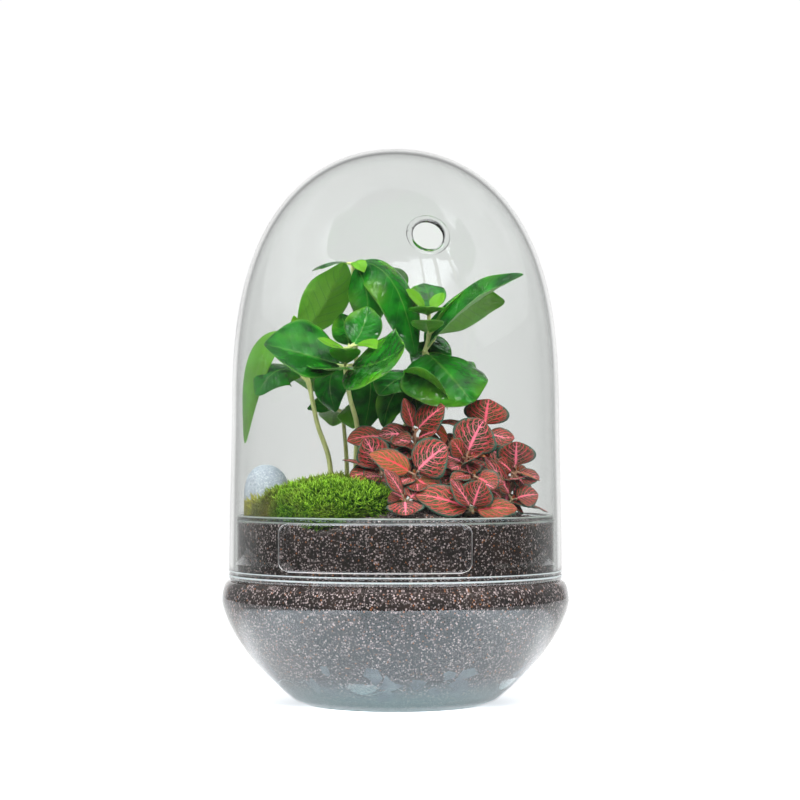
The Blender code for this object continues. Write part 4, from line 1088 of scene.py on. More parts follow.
class Sheaf:
    """Collects the closed leaves and stems of one plant."""

    def __init__(self):
        self.points, self.faces, self.uv, self.under, self.age, self.slots = [], [], [], [], [], []

    def add(self, points, faces, uv, under, age, slot):
        """Adds one closed shell: slot 0 has the leaf's finish and slot 1 the stem's."""
        start = len(self.points)
        self.points += points
        self.faces += [tuple(start + i for i in face) for face in faces]
        self.uv += uv
        self.under += under
        self.age += [age] * len(points)
        self.slots += [slot] * len(faces)

    def tube(self, path, radii, sides=10):
        """A closed tube with rounded ends, in the stem's finish."""
        points, faces = [], []
        across = (path[1] - path[0]).orthogonal().normalized()
        for i, centre in enumerate(path):
            along = (path[min(i + 1, len(path) - 1)] - path[max(i - 1, 0)]).normalized()
            across = (across - along * across.dot(along)).normalized()
            points += ring_between(centre, across, along.cross(across), radii[i], sides)
        for i in range(len(path) - 1):
            faces += band_faces(i * sides, (i + 1) * sides, sides)
        last = (len(path) - 1) * sides
        points += [path[0] + (path[0] - path[1]).normalized() * radii[0] * 0.5]
        points += [path[-1] + (path[-1] - path[-2]).normalized() * radii[-1] * 0.7]
        for k in range(sides):
            n = (k + 1) % sides
            faces.append((len(points) - 2, n, k))
            faces.append((len(points) - 1, last + k, last + n))
        self.add(points, faces, [(0.0, 0.5)] * len(points), [0.0] * len(points), 0.0, 1)

    def build(self, name, skin, stem):
        """The plant as one object."""
        obj = new_object(name, self.points, self.faces)
        mesh = obj.data
        mesh.materials.append(skin)
        mesh.materials.append(stem)
        mesh.polygons.foreach_set("material_index", self.slots)
        corners = np.zeros(len(mesh.loops), np.int32)
        mesh.loops.foreach_get("vertex_index", corners)
        layer = mesh.uv_layers.new(name="leaf")
        layer.data.foreach_set("uv", np.array(self.uv, np.float32)[corners].ravel())
        carry(obj, "under", self.under)
        carry(obj, "age", self.age)
        face_outwards(obj)
        return obj


def blade_lift(s, opened, share, half, width, wave, rise, shape):
    """How far a blade stands up at s, which goes from -1 at one margin to 1 at the other."""
    a = abs(s)
    full = min(1, half / 4)
    folded = half * (math.sqrt(a * a + RIB_ROUND**2) - RIB_ROUND) * rise
    ripple = wave * math.sin(9.5 * share + (1.7 if s > 0 else 0)) * s * s * full
    frill = shape["frill"] * width * math.sin(23 * share + 4 * s + width) * a**3 * full
    cell = shape["veins"] * opened - shape["lean"] * a
    quilt = shape["quilt"] * width * (0.5 - 0.5 * math.cos(2 * math.pi * cell)) * (1 - a**4)
    droop = shape["camber"] * half * (a**2.2)
    return folded + ripple + frill + quilt * min(1, half * 3 / width) - droop


def leaf(sheaf, rib, width, face, fold, wave, shape, age):
    """A thin closed blade, quilted between its veins, on a round stalk that runs on into its rib."""
    base, middle, tip = rib
    control = middle * 2 - (base + tip) / 2
    stalk = min(0.25, shape["stalk"] / (tip - base).length)
    stations, across = shape["detail"]
    if width < SMALL_LEAF:
        stations, across = stations * 2 // 3, across * 2 // 3 // 2 * 2
    columns = [math.sin(math.pi / 2 * (2 * j / across - 1) * 0.55) for j in range(across + 1)]
    columns = [s / columns[-1] for s in columns]
    face = Vector(face).normalized()
    fold = math.radians(fold)
    rise, spread = math.sin(fold), math.cos(fold)
    upper, lower, normals, uv = [], [], [], []
    for i in range(stations + 1):
        opened = (1 - math.cos(math.pi * i / stations)) / 2 * 0.6 + i / stations * 0.4
        share = stalk + (1 - stalk) * opened
        centre = bezier(base, control, tip, share)
        ahead, behind = (bezier(base, control, tip, share + step) for step in (0.02, -0.02))
        along = (ahead - behind).normalized()
        normal = (face - along * face.dot(along)).normalized()
        normals.append(normal)
        side = along.cross(normal)
        half = max(shape["least"], width / 2 * shape["outline"](opened))
        for s in columns:
            point = centre + side * (half * s * spread)
            point += normal * blade_lift(s, opened, share, half, width, wave, rise, shape)
            out = (normal * spread - side * rise * max(-1.0, min(1.0, s * 4))).normalized()
            thick = shape["thick"] * (0.35 + 0.65 * (1 - s**4))
            keel = shape["keel"] * (1 - 0.75 * opened) * math.exp(-((s * half / 0.5) ** 2))
            upper.append(point + out * thick / 2 - out * keel * 0.3)
            lower.append(point - out * (thick / 2 + keel))
            uv.append((opened, (s + 1) / 2))
    under = [0.0] * len(upper) + [1.0] * len(lower)
    sheaf.add(upper + lower, plate_faces(stations, across), uv + uv, under, age, 0)
    path, radii = [], []
    for i in range(9):
        share = (stalk + 0.12) * i / 8
        centre = bezier(base, control, tip, share)
        sink = normals[0] * shape["thick"] * min(1.0, max(0.0, (share - stalk * 0.7) * 12))
        path.append(centre - sink)
        radii.append(shape["petiole"] * (1.15 - 0.75 * i / 8) * (1.25 if i == 0 else 1.0))
    sheaf.tube(path, radii, 8)


def leaf_root(node, middle, turn):
    """Where a leaf's stalk starts, sunk into the stem a little deeper for each leaf."""
    return node - (middle - node).normalized() * (0.2 + 0.07 * turn)


# How the two kinds of leaf are made: the stalk's length, the outline, how many faces along and across, the
# least half width, the side veins and their lean, the swelling between them, the curve of each half, the
# thickness, how far the rib stands out below, the margin's frills and the stalk's radius. The swelling, the
# curve and the frills are shares of a leaf's width.

COFFEE_SHAPE = {
    "stalk": COFFEE_STALK, "outline": coffee_outline, "detail": (46, 18), "least": 0.35,
    "veins": COFFEE_VEINS, "lean": COFFEE_VEIN_LEAN, "quilt": 0.009, "camber": 0.10, "thick": 0.42,
    "keel": 0.55, "frill": 0.006, "petiole": 0.85,
}
NERVE_SHAPE = {
    "stalk": NERVE_STALK, "outline": nerve_outline, "detail": (26, 14), "least": 0.3, "veins": 6.5,
    "lean": 1.9, "quilt": 0.022, "camber": 0.16, "thick": 0.4, "keel": 0.3, "frill": 0.01, "petiole": 0.55,
}


def stem_line(x, y, above, steps):
    """A stem's points: straight up out of the soil, and on along a smooth curve."""
    ground = soil_height(x, y)
    return [Vector((x, y, ground - HOLE_DEPTH))] + catmull([Vector((x, y, ground + 0.6))] + above, steps)


def coffee_plant(name, plan, skin, stem_skin):
    """A seedling: its stem, thicker at each joint, and its leaves."""
    sheaf = Sheaf()
    stem = [Vector(p) for p in plan["stem"]]
    line = stem_line(stem[0].x, stem[0].y, stem[1:], 8)
    foot, top = COFFEE_STEM_RADII
    joints = {1 + 8 * node for node, *_ in plan["leaves"]}
    radii = []
    for i in range(len(line)):
        swell = sum(0.28 * math.exp(-((i - j) / 1.1) ** 2) for j in joints)
        radii.append(foot + (top - foot) * i / (len(line) - 1) + swell)
    sheaf.tube(line, radii, 12)
    for turn, (node, middle, tip, width, face, fold, wave, age) in enumerate(plan["leaves"]):
        middle = Vector(middle)
        rib = (leaf_root(stem[node], middle, turn), middle, Vector(tip))
        leaf(sheaf, rib, width, face, fold, wave, COFFEE_SHAPE, age)
    return sheaf.build(name + "_foliage", skin, stem_skin)


def lower_leaves(rng, head, ground):
    """Leaves in pairs down the stem, as (tip from the head, width, face, tone), that fill the plant out."""
    added = []
    room = head.z - (head.z - ground) * 0.25
    turn = rng.uniform(0, math.pi)
    for pair in range(8):
        drop = LOWER_LEAF_START + LOWER_LEAF_STEP * pair
        if room - drop < ground + 3:
            break
        for side in (0, math.pi):
            a = turn + pair * math.pi / 2 + side + rng.uniform(-0.3, 0.3)
            length = rng.uniform(11.0, 15.0)
            tip = Vector((math.cos(a) * length, math.sin(a) * length, rng.uniform(-1.0, 4.0) - drop))
            spot = head + tip
            if math.hypot(spot.x, spot.y) > LEAF_LIMIT or spot.z < soil_height(spot.x, spot.y) + 2:
                continue
            face = (math.cos(a) * 0.3, math.sin(a) * 0.2 - 0.7, 0.6)
            added.append((tuple(tip), rng.uniform(9.5, 12.5), face, rng.uniform(0.05, 0.5)))
    return added


# More leaves, written the same way, for shoots that stand in sparse places.

NERVE_FILL = {
    "nerve_shoot_02": [((-5, 9, -6), 15, TO_VIEWER, 0.3), ((2, 6, -9), 14, TO_VIEWER, 0.15)],
    "nerve_shoot_05": [((-4, 6, -11), 14, TO_VIEWER, 0.3), ((4, 5, -13), 13, TO_VIEWER, 0.2)],
    "nerve_shoot_06": [((-2, 8, 3), 14, TO_VIEWER, 0.2), ((4, 9, -2), 13, TO_VIEWER, 0.35)],
    "nerve_shoot_10": [((9, 9, 4), 12, TO_VIEWER, 0.25), ((-6, 9, 3), 11, TO_VIEWER, 0.35)],
}


def nerve_shoot(name, plan, skin, stem_skin):
    """A shoot: its bent stem, its leaves in pairs from the head down, and two closed leaflets at its tip."""
    sheaf = Sheaf()
    (x, y), head, leaves = plan
    head = Vector(head)
    bend_height = soil_height(x, y) * 0.45 + head.z * 0.55
    bend = Vector((x * 0.4 + head.x * 0.6, y * 0.4 + head.y * 0.6, bend_height))
    line = stem_line(x, y, [bend, head], 6)
    sheaf.tube(line, [NERVE_STEM_RADIUS] * len(line), 10)
    lower = lower_leaves(random.Random(name), head, soil_height(head.x, head.y))
    for i, (tip, width, face, tone) in enumerate(leaves + lower + NERVE_FILL.get(name, [])):
        base = head.lerp(bend, min(0.95, NERVE_PAIR_STEP * (i // 2) / (head - bend).length))
        tip = Vector(tip)
        middle = (base + head + tip) / 2 + UP * tip.length * NERVE_ARCH / 2
        rib = (leaf_root(base, middle, i), middle, head + tip * NERVE_REACH)
        leaf(sheaf, rib, width * NERVE_BREADTH, face, 8, 0.3, NERVE_SHAPE, tone)
    out = (head - bend).normalized()
    for side in (1, -1):
        across = out.orthogonal().normalized() * side
        rib = (head, head + out * 1.5 + across * 1.2, head + out * 2.6 + across * 1.6)
        leaf(sheaf, rib, TIP_LEAFLET, -across, 10, 0.0, NERVE_SHAPE, 1.0)
    return sheaf.build(name + "_foliage", skin, stem_skin)


# Filling pieces


def bed_point(angle, share, above=0.0):
    """A point at that share of the way out on the top of the stones' bed, or above it."""
    height = gravel_height(angle, share) + above
    return polar(angle, belly_radius(height, BOWL_WALL - BED_OVERLAP) * share, height)


def soil_rows(sectors):
    """Rings of points round the soil, from the middle of its top down its side to the middle below."""
    rows = [[Vector((0, 0, soil_height(0, 0)))]]
    edge = NECK_RADIUS - NECK_WALL + WALL_OVERLAP
    for share in steps_between(0.03, 1.0, 34):
        row = []
        for a in turns(sectors):
            x, y = edge * share * math.cos(a), edge * share * math.sin(a)
            broad, small = noise.noise(Vector((x, y, 0)) * 0.16), noise.noise(Vector((x, y, 9)) * 0.45)
            lump = (broad * 1.4 + small * 0.8) * (1.0 if share < 1 else 0.4)
            row.append(Vector((x, y, soil_height(x, y) - soil_sag(x, y) + lump)))
        rows.append(row)
    wall = inner_wall(BOWL_WALL, NECK_WALL, -WALL_OVERLAP)
    for radius, height in reversed([(r, h) for r, h in wall if SOIL_FOOT < h < SOIL_EDGE - 1.5]):
        row = [polar(a, radius, height) for a in turns(sectors)]
        sagging = max(0.0, (height - SOIL_EDGE + SAG_FADE) / SAG_FADE)
        for spot in row:
            spot.z -= soil_sag(spot.x, spot.y) * sagging
        rows.append(row)
    for share in (1.0, 0.66, 0.33, 0.05):
        rows.append([bed_point(a, share, SOIL_ABOVE_GRAVEL) for a in turns(sectors)])
    rows.append([Vector((0, 0, GRAVEL_LEVEL + SOIL_ABOVE_GRAVEL))])
    return rows


def gravel_rows(sectors):
    """Rings round the bed that the drainage stones lie in."""
    rows = [[Vector((0, 0, GRAVEL_LEVEL))]]
    for share in (0.1, 0.33, 0.66, 1.0):
        rows.append([bed_point(a, share) for a in turns(sectors)])
    for share in (0.75, 0.5, 0.25, 0.0):
        row = []
        for a in turns(sectors):
            height = INSIDE_START + (gravel_height(a, 1.0) - INSIDE_START) * share
            row.append(polar(a, belly_radius(height, BOWL_WALL - WALL_OVERLAP), height))
        rows.append(row)
    for reach, height in floor_corner(BOWL_WALL, WALL_OVERLAP):
        rows.append([polar(a, reach, height) for a in turns(sectors)])
    rows.append([Vector((0, 0, FLOOR_HEIGHT - FLOOR_DIP - WALL_OVERLAP))])
    return rows


def press_inside(mesh):
    """Presses stones and shoots that reach too far out against the inside of the belly or the neck."""
    for v in mesh.vertices:
        height = max(v.co.z / MM, FLOOR_HEIGHT)
        reach = SHOOT_REACH
        if height < BELLY_HEIGHT:
            reach = belly_radius(height, BOWL_WALL - STONE_OVERLAP)
        limit = reach * MM / max(1e-6, math.hypot(v.co.x, v.co.y))
        if limit < 1:
            v.co = (v.co.x * limit, v.co.y * limit, height * MM)


def chip(name, roughness, seed):
    """A small angular stone of one millimetre's radius."""
    shell = bmesh.new()
    bmesh.ops.create_icosphere(shell, subdivisions=1, radius=1.0)
    for v in shell.verts:
        v.co *= 1 + roughness * noise.noise(v.co * 1.3 + Vector((seed, 0, 0)))
    mesh = bpy.data.meshes.new(name)
    shell.to_mesh(mesh)
    shell.free()
    mesh.transform(Matrix.Scale(MM, 4))
    obj = bpy.data.objects.new(name, mesh)
    bpy.context.scene.collection.objects.link(obj)
    obj.hide_render = True
    return obj


FULL_TURN = 6.28
ANY_TURN = ((0.0, 0.0, 0.0), (FULL_TURN, FULL_TURN, FULL_TURN))


def scatter_tree():
    """Strews copies of a small object over the faces of a mesh, sunk in by half."""
    inputs = [
        ("Grain", "NodeSocketObject", None), ("Density", "NodeSocketFloat", 1000.0),
        ("Seed", "NodeSocketInt", 1), ("Least Size", "NodeSocketFloat", 0.3),
        ("Greatest Size", "NodeSocketFloat", 0.8), ("Material", "NodeSocketMaterial", None),
    ]
    tree, graph, given = new_tree("Strewn Grains", inputs)
    spread = graph.add("GeometryNodeDistributePointsOnFaces", {
        "Mesh": given["Geometry"], "Density": given["Density"], "Seed": given["Seed"],
    })
    seed = graph.plus(given["Seed"], 5.0)
    grain = graph.out("GeometryNodeObjectInfo", "Geometry", {"Object": given["Grain"]})
    copies = graph.out("GeometryNodeInstanceOnPoints", "Instances", {
        "Points": spread.outputs["Points"], "Instance": grain,
        "Rotation": graph.random(*ANY_TURN, given["Seed"]),
        "Scale": graph.random(given["Least Size"], given["Greatest Size"], seed, "FLOAT"),
    })
    close_tree(graph, copies, given["Material"])
    return tree


def placed_tree():
    """Sets a stone on each point of a mesh, by the point's own size and a random turn."""
    inputs = [
        ("Stone", "NodeSocketObject", None), ("Seed", "NodeSocketInt", 1),
        ("Material", "NodeSocketMaterial", None),
    ]
    tree, graph, given = new_tree("Placed Stones", inputs)
    points = graph.out("GeometryNodeMeshToPoints", "Points", {"Mesh": given["Geometry"]})
    size = graph.out("GeometryNodeInputNamedAttribute", "Attribute", {"Name": "size"}, data_type="FLOAT")
    stretch = graph.random((0.8, 0.7, 0.55), (1.1, 1.0, 0.9), given["Seed"])
    stone = graph.out("GeometryNodeObjectInfo", "Geometry", {"Object": given["Stone"]})
    copies = graph.out("GeometryNodeInstanceOnPoints", "Instances", {
        "Points": points, "Instance": stone, "Rotation": graph.random(*ANY_TURN, given["Seed"]),
        "Scale": graph.scaled(stretch, size),
    })
    close_tree(graph, copies, given["Material"])
    return tree


def moss_tree():
    """Grows fine curved shoots out of a mound's upper faces, each leaning its own way."""
    inputs = [
        ("Shoot", "NodeSocketObject", None), ("Density", "NodeSocketFloat", 3.0e6),
        ("Seed", "NodeSocketInt", 3), ("Least Length", "NodeSocketFloat", 4.0),
        ("Greatest Length", "NodeSocketFloat", 8.0), ("Lean", "NodeSocketFloat", 0.6),
        ("Material", "NodeSocketMaterial", None),
    ]
    tree, graph, given = new_tree("Moss Shoots", inputs)
    upright = graph.parts(graph.out("GeometryNodeInputNormal", "Normal"))["Z"]
    chosen = graph.out("FunctionNodeCompare", "Result", {
        "A": upright, "B": 0.05,
    }, data_type="FLOAT", operation="GREATER_THAN")
    spread = graph.add("GeometryNodeDistributePointsOnFaces", {
        "Mesh": given["Geometry"], "Selection": chosen, "Density": given["Density"], "Seed": given["Seed"],
    })
    back = graph.times(given["Lean"], -1.0)
    least = graph.vector(back, back, 0.0)
    most = graph.vector(given["Lean"], given["Lean"], FULL_TURN)
    turn = graph.out("FunctionNodeRotateRotation", "Rotation", {
        "Rotation": spread.outputs["Rotation"], "Rotate By": graph.random(least, most, given["Seed"]),
    }, rotation_space="LOCAL")
    seed = graph.plus(given["Seed"], 7.0)
    shoot = graph.out("GeometryNodeObjectInfo", "Geometry", {"Object": given["Shoot"]})
    copies = graph.out("GeometryNodeInstanceOnPoints", "Instances", {
        "Points": spread.outputs["Points"], "Instance": shoot, "Rotation": turn,
        "Scale": graph.random(given["Least Length"], given["Greatest Length"], seed, "FLOAT"),
    })
    named = graph.out("GeometryNodeStoreNamedAttribute", "Geometry", {
        "Geometry": copies, "Name": "shade", "Value": graph.random(0.0, 1.0, 11, "FLOAT"),
    }, data_type="FLOAT", domain="INSTANCE")
    both = graph.add("GeometryNodeJoinGeometry")
    graph.tree.links.new(named, both.inputs[0])
    graph.tree.links.new(given["Geometry"], both.inputs[0])
    close_tree(graph, both.outputs[0], given["Material"])
    return tree


def moss_height(share, height):
    """Height of a mound at that share of the way out from its middle."""
    return height * max(0.0, 1 - share**2.6) ** 0.6


def moss_point(centre, radii, share, angle):
    """Where a mound's point lies, kept off the glass."""
    x = centre.x + radii[0] * share * math.cos(angle)
    y = centre.y + radii[1] * share * math.sin(angle)
    keep = min(1.0, (MOSS_REACH - 2.5 * (1 - share)) / math.hypot(x, y))
    return x * keep, y * keep


def moss_mound(name, centre, radii, height, sectors, rings):
    """A lumpy low mound whose underside follows the soil."""
    rows = []
    for j in list(range(rings + 1)) + list(range(rings, -1, -1)):
        share = j / rings
        row = []
        for a in turns(sectors):
            x, y = moss_point(centre, radii, share, a)
            seat = soil_height(x, y) - soil_sag(x, y) + MOSS_SEAT
            broad, small = noise.noise(Vector((x, y, 3)) * 0.13), noise.noise(Vector((x, y, 5)) * 0.4)
            lump = 1 + 0.16 * broad + 0.1 * small
            rise = moss_height(share, height) * lump + 0.8 if len(rows) <= rings else -0.8
            row.append(Vector((x, y, seat + rise)))
        rows.append(row if share else [sum(row, Vector()) / sectors])
    obj = new_object(name, *lathe(rows))
    face_outwards(obj)
    # The mound's surface takes the colour near the roots: painted shade inside the cushion, under its shoots
    carry(obj, "along", [0.08] * len(obj.data.vertices))
    return obj


def moss_shoot_shape(name):
    """A thin curved three-sided shoot, one millimetre long, whose points carry how far along it they are."""
    points, faces = [], []
    stages = ((0.0, 0.075), (0.4, 0.075), (0.75, 0.05))
    for height, radius in stages:
        for a in turns(3):
            points.append(Vector((radius * math.cos(a) + 0.3 * height**2, radius * math.sin(a), height)))
    points.append(Vector((0.34, 0, 1.0)))
    for i in range(len(stages) - 1):
        faces += band_faces(3 * i, 3 * i + 3, 3)
    faces += [(6 + k, 6 + (k + 1) % 3, 9) for k in range(3)] + [(2, 1, 0)]
    obj = new_object(name, points, faces)
    carry(obj, "along", [p.z for p in points])
    obj.hide_render = True
    return obj


# Settings that a user may change


def colour(name, description, default):
    """A colour setting."""
    return bpy.props.FloatVectorProperty(
        name=name, description=description, default=default, subtype="COLOR", size=3, min=0.0, max=1.0
    )


def distance(name, description, default):
    """A length setting, in metres."""
    return bpy.props.FloatProperty(
        name=name, description=description, default=default, subtype="DISTANCE", unit="LENGTH",
        min=0.0, precision=4,
    )


def amount(name, description, default, least=0.0):
    """A plain number setting."""
    return bpy.props.FloatProperty(name=name, description=description, default=default, min=least)


def count(name, description, default, least):
    """A whole number setting."""
    return bpy.props.IntProperty(name=name, description=description, default=default, min=least)


def power(name, description, default):
    """A light's power setting, in watts."""
    return bpy.props.FloatProperty(
        name=name, description=description, default=default, subtype="POWER", unit="POWER", min=0.0
    )


class GlassSettings(bpy.types.PropertyGroup):
    """Sizes and colours of the bowl and the dome."""

    sectors: count("Sectors", "Flat faces round the glass", 160, 32)
    bowl_wall: distance("Bowl wall", "Thickness of the bowl's wall", BOWL_WALL * MM)
    neck_wall: distance("Neck wall", "Thickness of the bowl's neck", NECK_WALL * MM)
    dome_wall: distance("Dome wall", "Thickness of the dome's wall", DOME_WALL * MM)
    vent_radius: distance("Vent radius", "Radius of the vent hole", VENT_RADIUS * MM)
    tint: colour("Dome tint", "Colour of the dome", (0.88, 0.895, 0.885))
    bowl_tint: colour("Bowl tint", "Colour of the bowl", (0.80, 0.87, 0.885))
    foot_tint: colour("Foot tint", "Colour of the bowl's thick foot", (0.52, 0.86, 0.84))
    foot_depth: distance("Foot colour height", "Height up to which the foot's colour fades", 0.016)


class FillingSettings(bpy.types.PropertyGroup):
    """Colours and amounts of the soil, the stones and the pebble."""

    # Colour of the gaps between crumbs: partly the soil's own dark, partly painted shade
    soil_dark: colour("Dark soil", "Colour of the soil's gaps", (0.004, 0.002, 0.0015))
    soil_brown: colour("Soil", "Colour of the soil's crumbs", (0.015, 0.008, 0.006))
    fleck: colour("Flecks", "Colour of the pale grains in the soil", (0.60, 0.47, 0.455))
    # Colour of the painted veil: light painted low on the soil and the stones' bed
    painted_veil_colour: colour("Painted veil", "Colour of the mist inside the bowl's foot", (0.15, 0.20, 0.21))
    stone_dark: colour("Dark stone", "Darker colour of the drainage stones", (0.06, 0.075, 0.085))
    stone_light: colour("Light stone", "Lighter colour of the drainage stones", (0.15, 0.18, 0.20))
    pebble_dark: colour("Dark pebble", "Darker colour of the pebble", (0.32, 0.37, 0.42))
    pebble_light: colour("Light pebble", "Lighter colour of the pebble", (0.40, 0.45, 0.50))
    fleck_density: amount("Fleck density", "Raised pale grains on a square metre of soil", 90000.0)
    stones: count("Stones", "Drainage stones against the glass", 42, 0)


class MossSettings(bpy.types.PropertyGroup):
    """Sizes and colours of the moss."""

    density: amount("Density", "Shoots on a square metre of moss", 2.4e6)
    least: distance("Shortest shoot", "Length of the shortest shoot", 0.0028)
    greatest: distance("Longest shoot", "Length of the longest shoot", 0.0068)
    lean: bpy.props.FloatProperty(
        name="Lean", description="How far shoots lean", default=1.0, subtype="ANGLE", unit="ROTATION"
    )
    # Near black: partly the old stems' colour, partly painted shade deep in the cushion
    root: colour("Root", "Colour deep in the moss", (0.006, 0.018, 0.002))
    middle: colour("Shoot", "Colour of the shoots", (0.035, 0.125, 0.003))
    tip: colour("Tip", "Colour of the shoots' tips", (0.32, 0.62, 0.035))
    old: colour("Old moss", "Colour of old moss", (0.14, 0.12, 0.03))


class PlantSettings(bpy.types.PropertyGroup):
    """Colours of the coffee seedlings and the nerve plant."""

    coffee_dark: colour("Dark leaf", "Deepest green of old coffee leaves", (0.0, 0.040, 0.003))
    coffee_fresh: colour("Leaf", "Green of old coffee leaves", (0.008, 0.15, 0.006))
    coffee_lime: colour("Young leaf", "Colour of young coffee leaves", (0.095, 0.27, 0.010))
    coffee_margin: colour("Rib and margin", "Colour of ribs and margins", (0.12, 0.25, 0.045))
    coffee_stem: colour("Coffee stem", "Colour of the coffee stems", (0.52, 0.56, 0.22))
    coffee_foot: colour("Stem foot", "Colour of the coffee stems near the soil", (0.42, 0.46, 0.18))
    nerve_ground: colour("Nerve leaf", "Green between the veins", (0.012, 0.030, 0.009))
    nerve_rim: colour("Nerve margin", "Colour of the nerve leaves' margins", (0.032, 0.085, 0.058))
    nerve_red: colour("Veins", "Colour of the side veins", (0.60, 0.030, 0.050))
    nerve_pink: colour("Rib", "Colour of the main rib", (0.78, 0.17, 0.25))
    nerve_young: colour("Young nerve leaf", "Colour of young nerve leaves", (0.12, 0.085, 0.012))


class StageSettings(bpy.types.PropertyGroup):
    """The camera, the light and the floor."""

    camera_distance: distance("Camera distance", "From the camera to the terrarium's axis", 1.122)
    camera_height: distance("Camera height", "Height of the camera", 0.1235)
    aim_height: distance("Aim height", "Height that the camera looks at", 0.1529)
    offset: distance("Camera offset", "How far the camera stands to the right", 0.00228)
    lens: amount("Lens", "Focal length in millimetres", 99.5, 1.0)
    top: power("Top light", "Power of the soft light above", 21.0)
    key: power("Key light", "Power of the soft light at the front left", 4.5)
    window: power("Window light", "Power of the small light that the leaves mirror", 2.6)
    strip: power("Strip lights", "Power of each narrow light that only the leaves mirror", 4.5)
    fill: power("Fill light", "Power of the soft light at the front right", 3.0)
    back: power("Back light", "Power of the light on the floor behind", 16.0)
    room: amount("Room", "Brightness of the room", 0.07)
    walls: amount("Walls", "Brightness of the walls at the sides and behind", 0.25)
    floor: colour("Floor", "Colour of the floor", (0.9, 0.9, 0.9))
    glow: amount("Glow", "Strength of the light from the floor round the bowl", 2.2)


class TerrariumSettings(bpy.types.PropertyGroup):
    """All the settings of the terrarium."""

    glass: bpy.props.PointerProperty(type=GlassSettings, name="Glass", description="The glass")
    filling: bpy.props.PointerProperty(type=FillingSettings, name="Filling", description="Soil and stones")
    moss: bpy.props.PointerProperty(type=MossSettings, name="Moss", description="The moss")
    plants: bpy.props.PointerProperty(type=PlantSettings, name="Plants", description="The plants")
    stage: bpy.props.PointerProperty(type=StageSettings, name="Stage", description="Camera and light")


# Operators


class TERRARIUM_OT_bowl(bpy.types.Operator):
    """Builds the glass bowl"""

    bl_idname = "terrarium.bowl"
    bl_label = "Build Bowl"

    def execute(self, context):
        given = context.scene.terrarium.glass
        tints = (given.bowl_tint, given.foot_tint)
        glass = clear_glass("bowl_glass_clear", *tints, given.foot_depth, 1.6, DULL_MIRROR)
        profile = bowl_profile(given.bowl_wall / MM, given.neck_wall / MM)
        bowl = turned("bowl_glass", profile, given.sectors, glass)
        # The bands on the rim paint highlight lines, and the band round the foot's bottom edge paints a shade
        # line.
        bands = [*painted_band_heights(RIM_RIDGES), RIM_EDGE]
        mark_painted_bands(bowl, painted_edge_band_finish("rim_painted_highlight", RIM_PAINTED_HIGHLIGHT), bands, NECK_RADIUS - 1.6)
        mark_painted_bands(bowl, painted_edge_band_finish("foot_painted_shade", FOOT_PAINTED_SHADE), [FOOT_EDGE], FOOT_OUTER_RADIUS - 2)
        bowl.visible_shadow = False
        place(bowl, "glass", "bowl")
        return {"FINISHED"}


def vent_lip(middle, axis, vent, around, sides, material):
    """The thick round lip of the vent hole."""
    points, faces = [], []
    for hub in ring_points(Vector(), axis, 1.0, around):
        for a in turns(sides):
            ring = vent + VENT_LIP * 0.95 + VENT_LIP * math.cos(a)
            points.append(middle + hub * ring + axis * VENT_LIP * math.sin(a))
    for i in range(around):
        faces += band_faces(i * sides, (i + 1) % around * sides, sides)
    lip = new_object("vent_lip", points, faces, material)
    face_outwards(lip)
    return lip


def vent_cutter(middle, axis, radius, around, material):
    """A round bar that goes through the dome's wall where the vent hole is."""
    points = ring_points(middle - axis * 12, axis, radius, around)
    points += ring_points(middle + axis * 12, axis, radius, around)
    caps = [tuple(range(around)), tuple(range(around, 2 * around))]
    cutter = new_object("vent_cutter", points, caps + band_faces(0, around, around), material)
    face_outwards(cutter)
    return cutter


class TERRARIUM_OT_dome(bpy.types.Operator):
    """Builds the glass dome with its vent hole"""

    bl_idname = "terrarium.dome"
    bl_label = "Build Dome"

    def execute(self, context):
        given = context.scene.terrarium.glass
        glass = clear_glass("dome_glass_clear", given.tint, given.tint, given.foot_depth, 1.5)
        wall, vent = given.dome_wall / MM, given.vent_radius / MM
        dome = turned("dome_glass", dome_profile(wall), given.sectors, glass)
        middle, axis = vent_frame(wall)
        lip = vent_lip(middle, axis, vent, 72, 24, glass)
        apply_boolean(dome, "DIFFERENCE", vent_cutter(middle, axis, vent + VENT_LIP * 0.9, 72, glass))
        apply_boolean(dome, "UNION", lip)
        dome.data.shade_smooth()
        dome.data.set_sharp_from_angle(angle=math.radians(35))
        # The bands round the dome's foot paint highlight lines.
        highlight_bands = painted_band_heights(DOME_FOOT_RIDGES)
        mark_painted_bands(dome, painted_edge_band_finish("dome_painted_highlight", DOME_PAINTED_HIGHLIGHT), highlight_bands, DOME_FOOT_RADIUS - 0.6)
        dome.visible_shadow = False
        place(dome, "glass", "dome")
        return {"FINISHED"}


def label_point(u, v, radius):
    """A point of the label, which has round corners, from -1 to 1 across it and up it."""
    left, right = LABEL_SIDES
    low, high = LABEL_HEIGHTS
    half_x, half_z = (right - left) / 2, (high - low) / 2
    beyond = max(0.0, abs(half_z * v) - (half_z - LABEL_CORNER))
    width = half_x - LABEL_CORNER + math.sqrt(max(LABEL_CORNER**2 - beyond * beyond, 0.0))
    angle = math.asin(((left + right) / 2 + width * u) / DOME_FOOT_RADIUS)
    return Vector((radius * math.sin(angle), -radius * math.cos(angle), (low + high) / 2 + half_z * v))


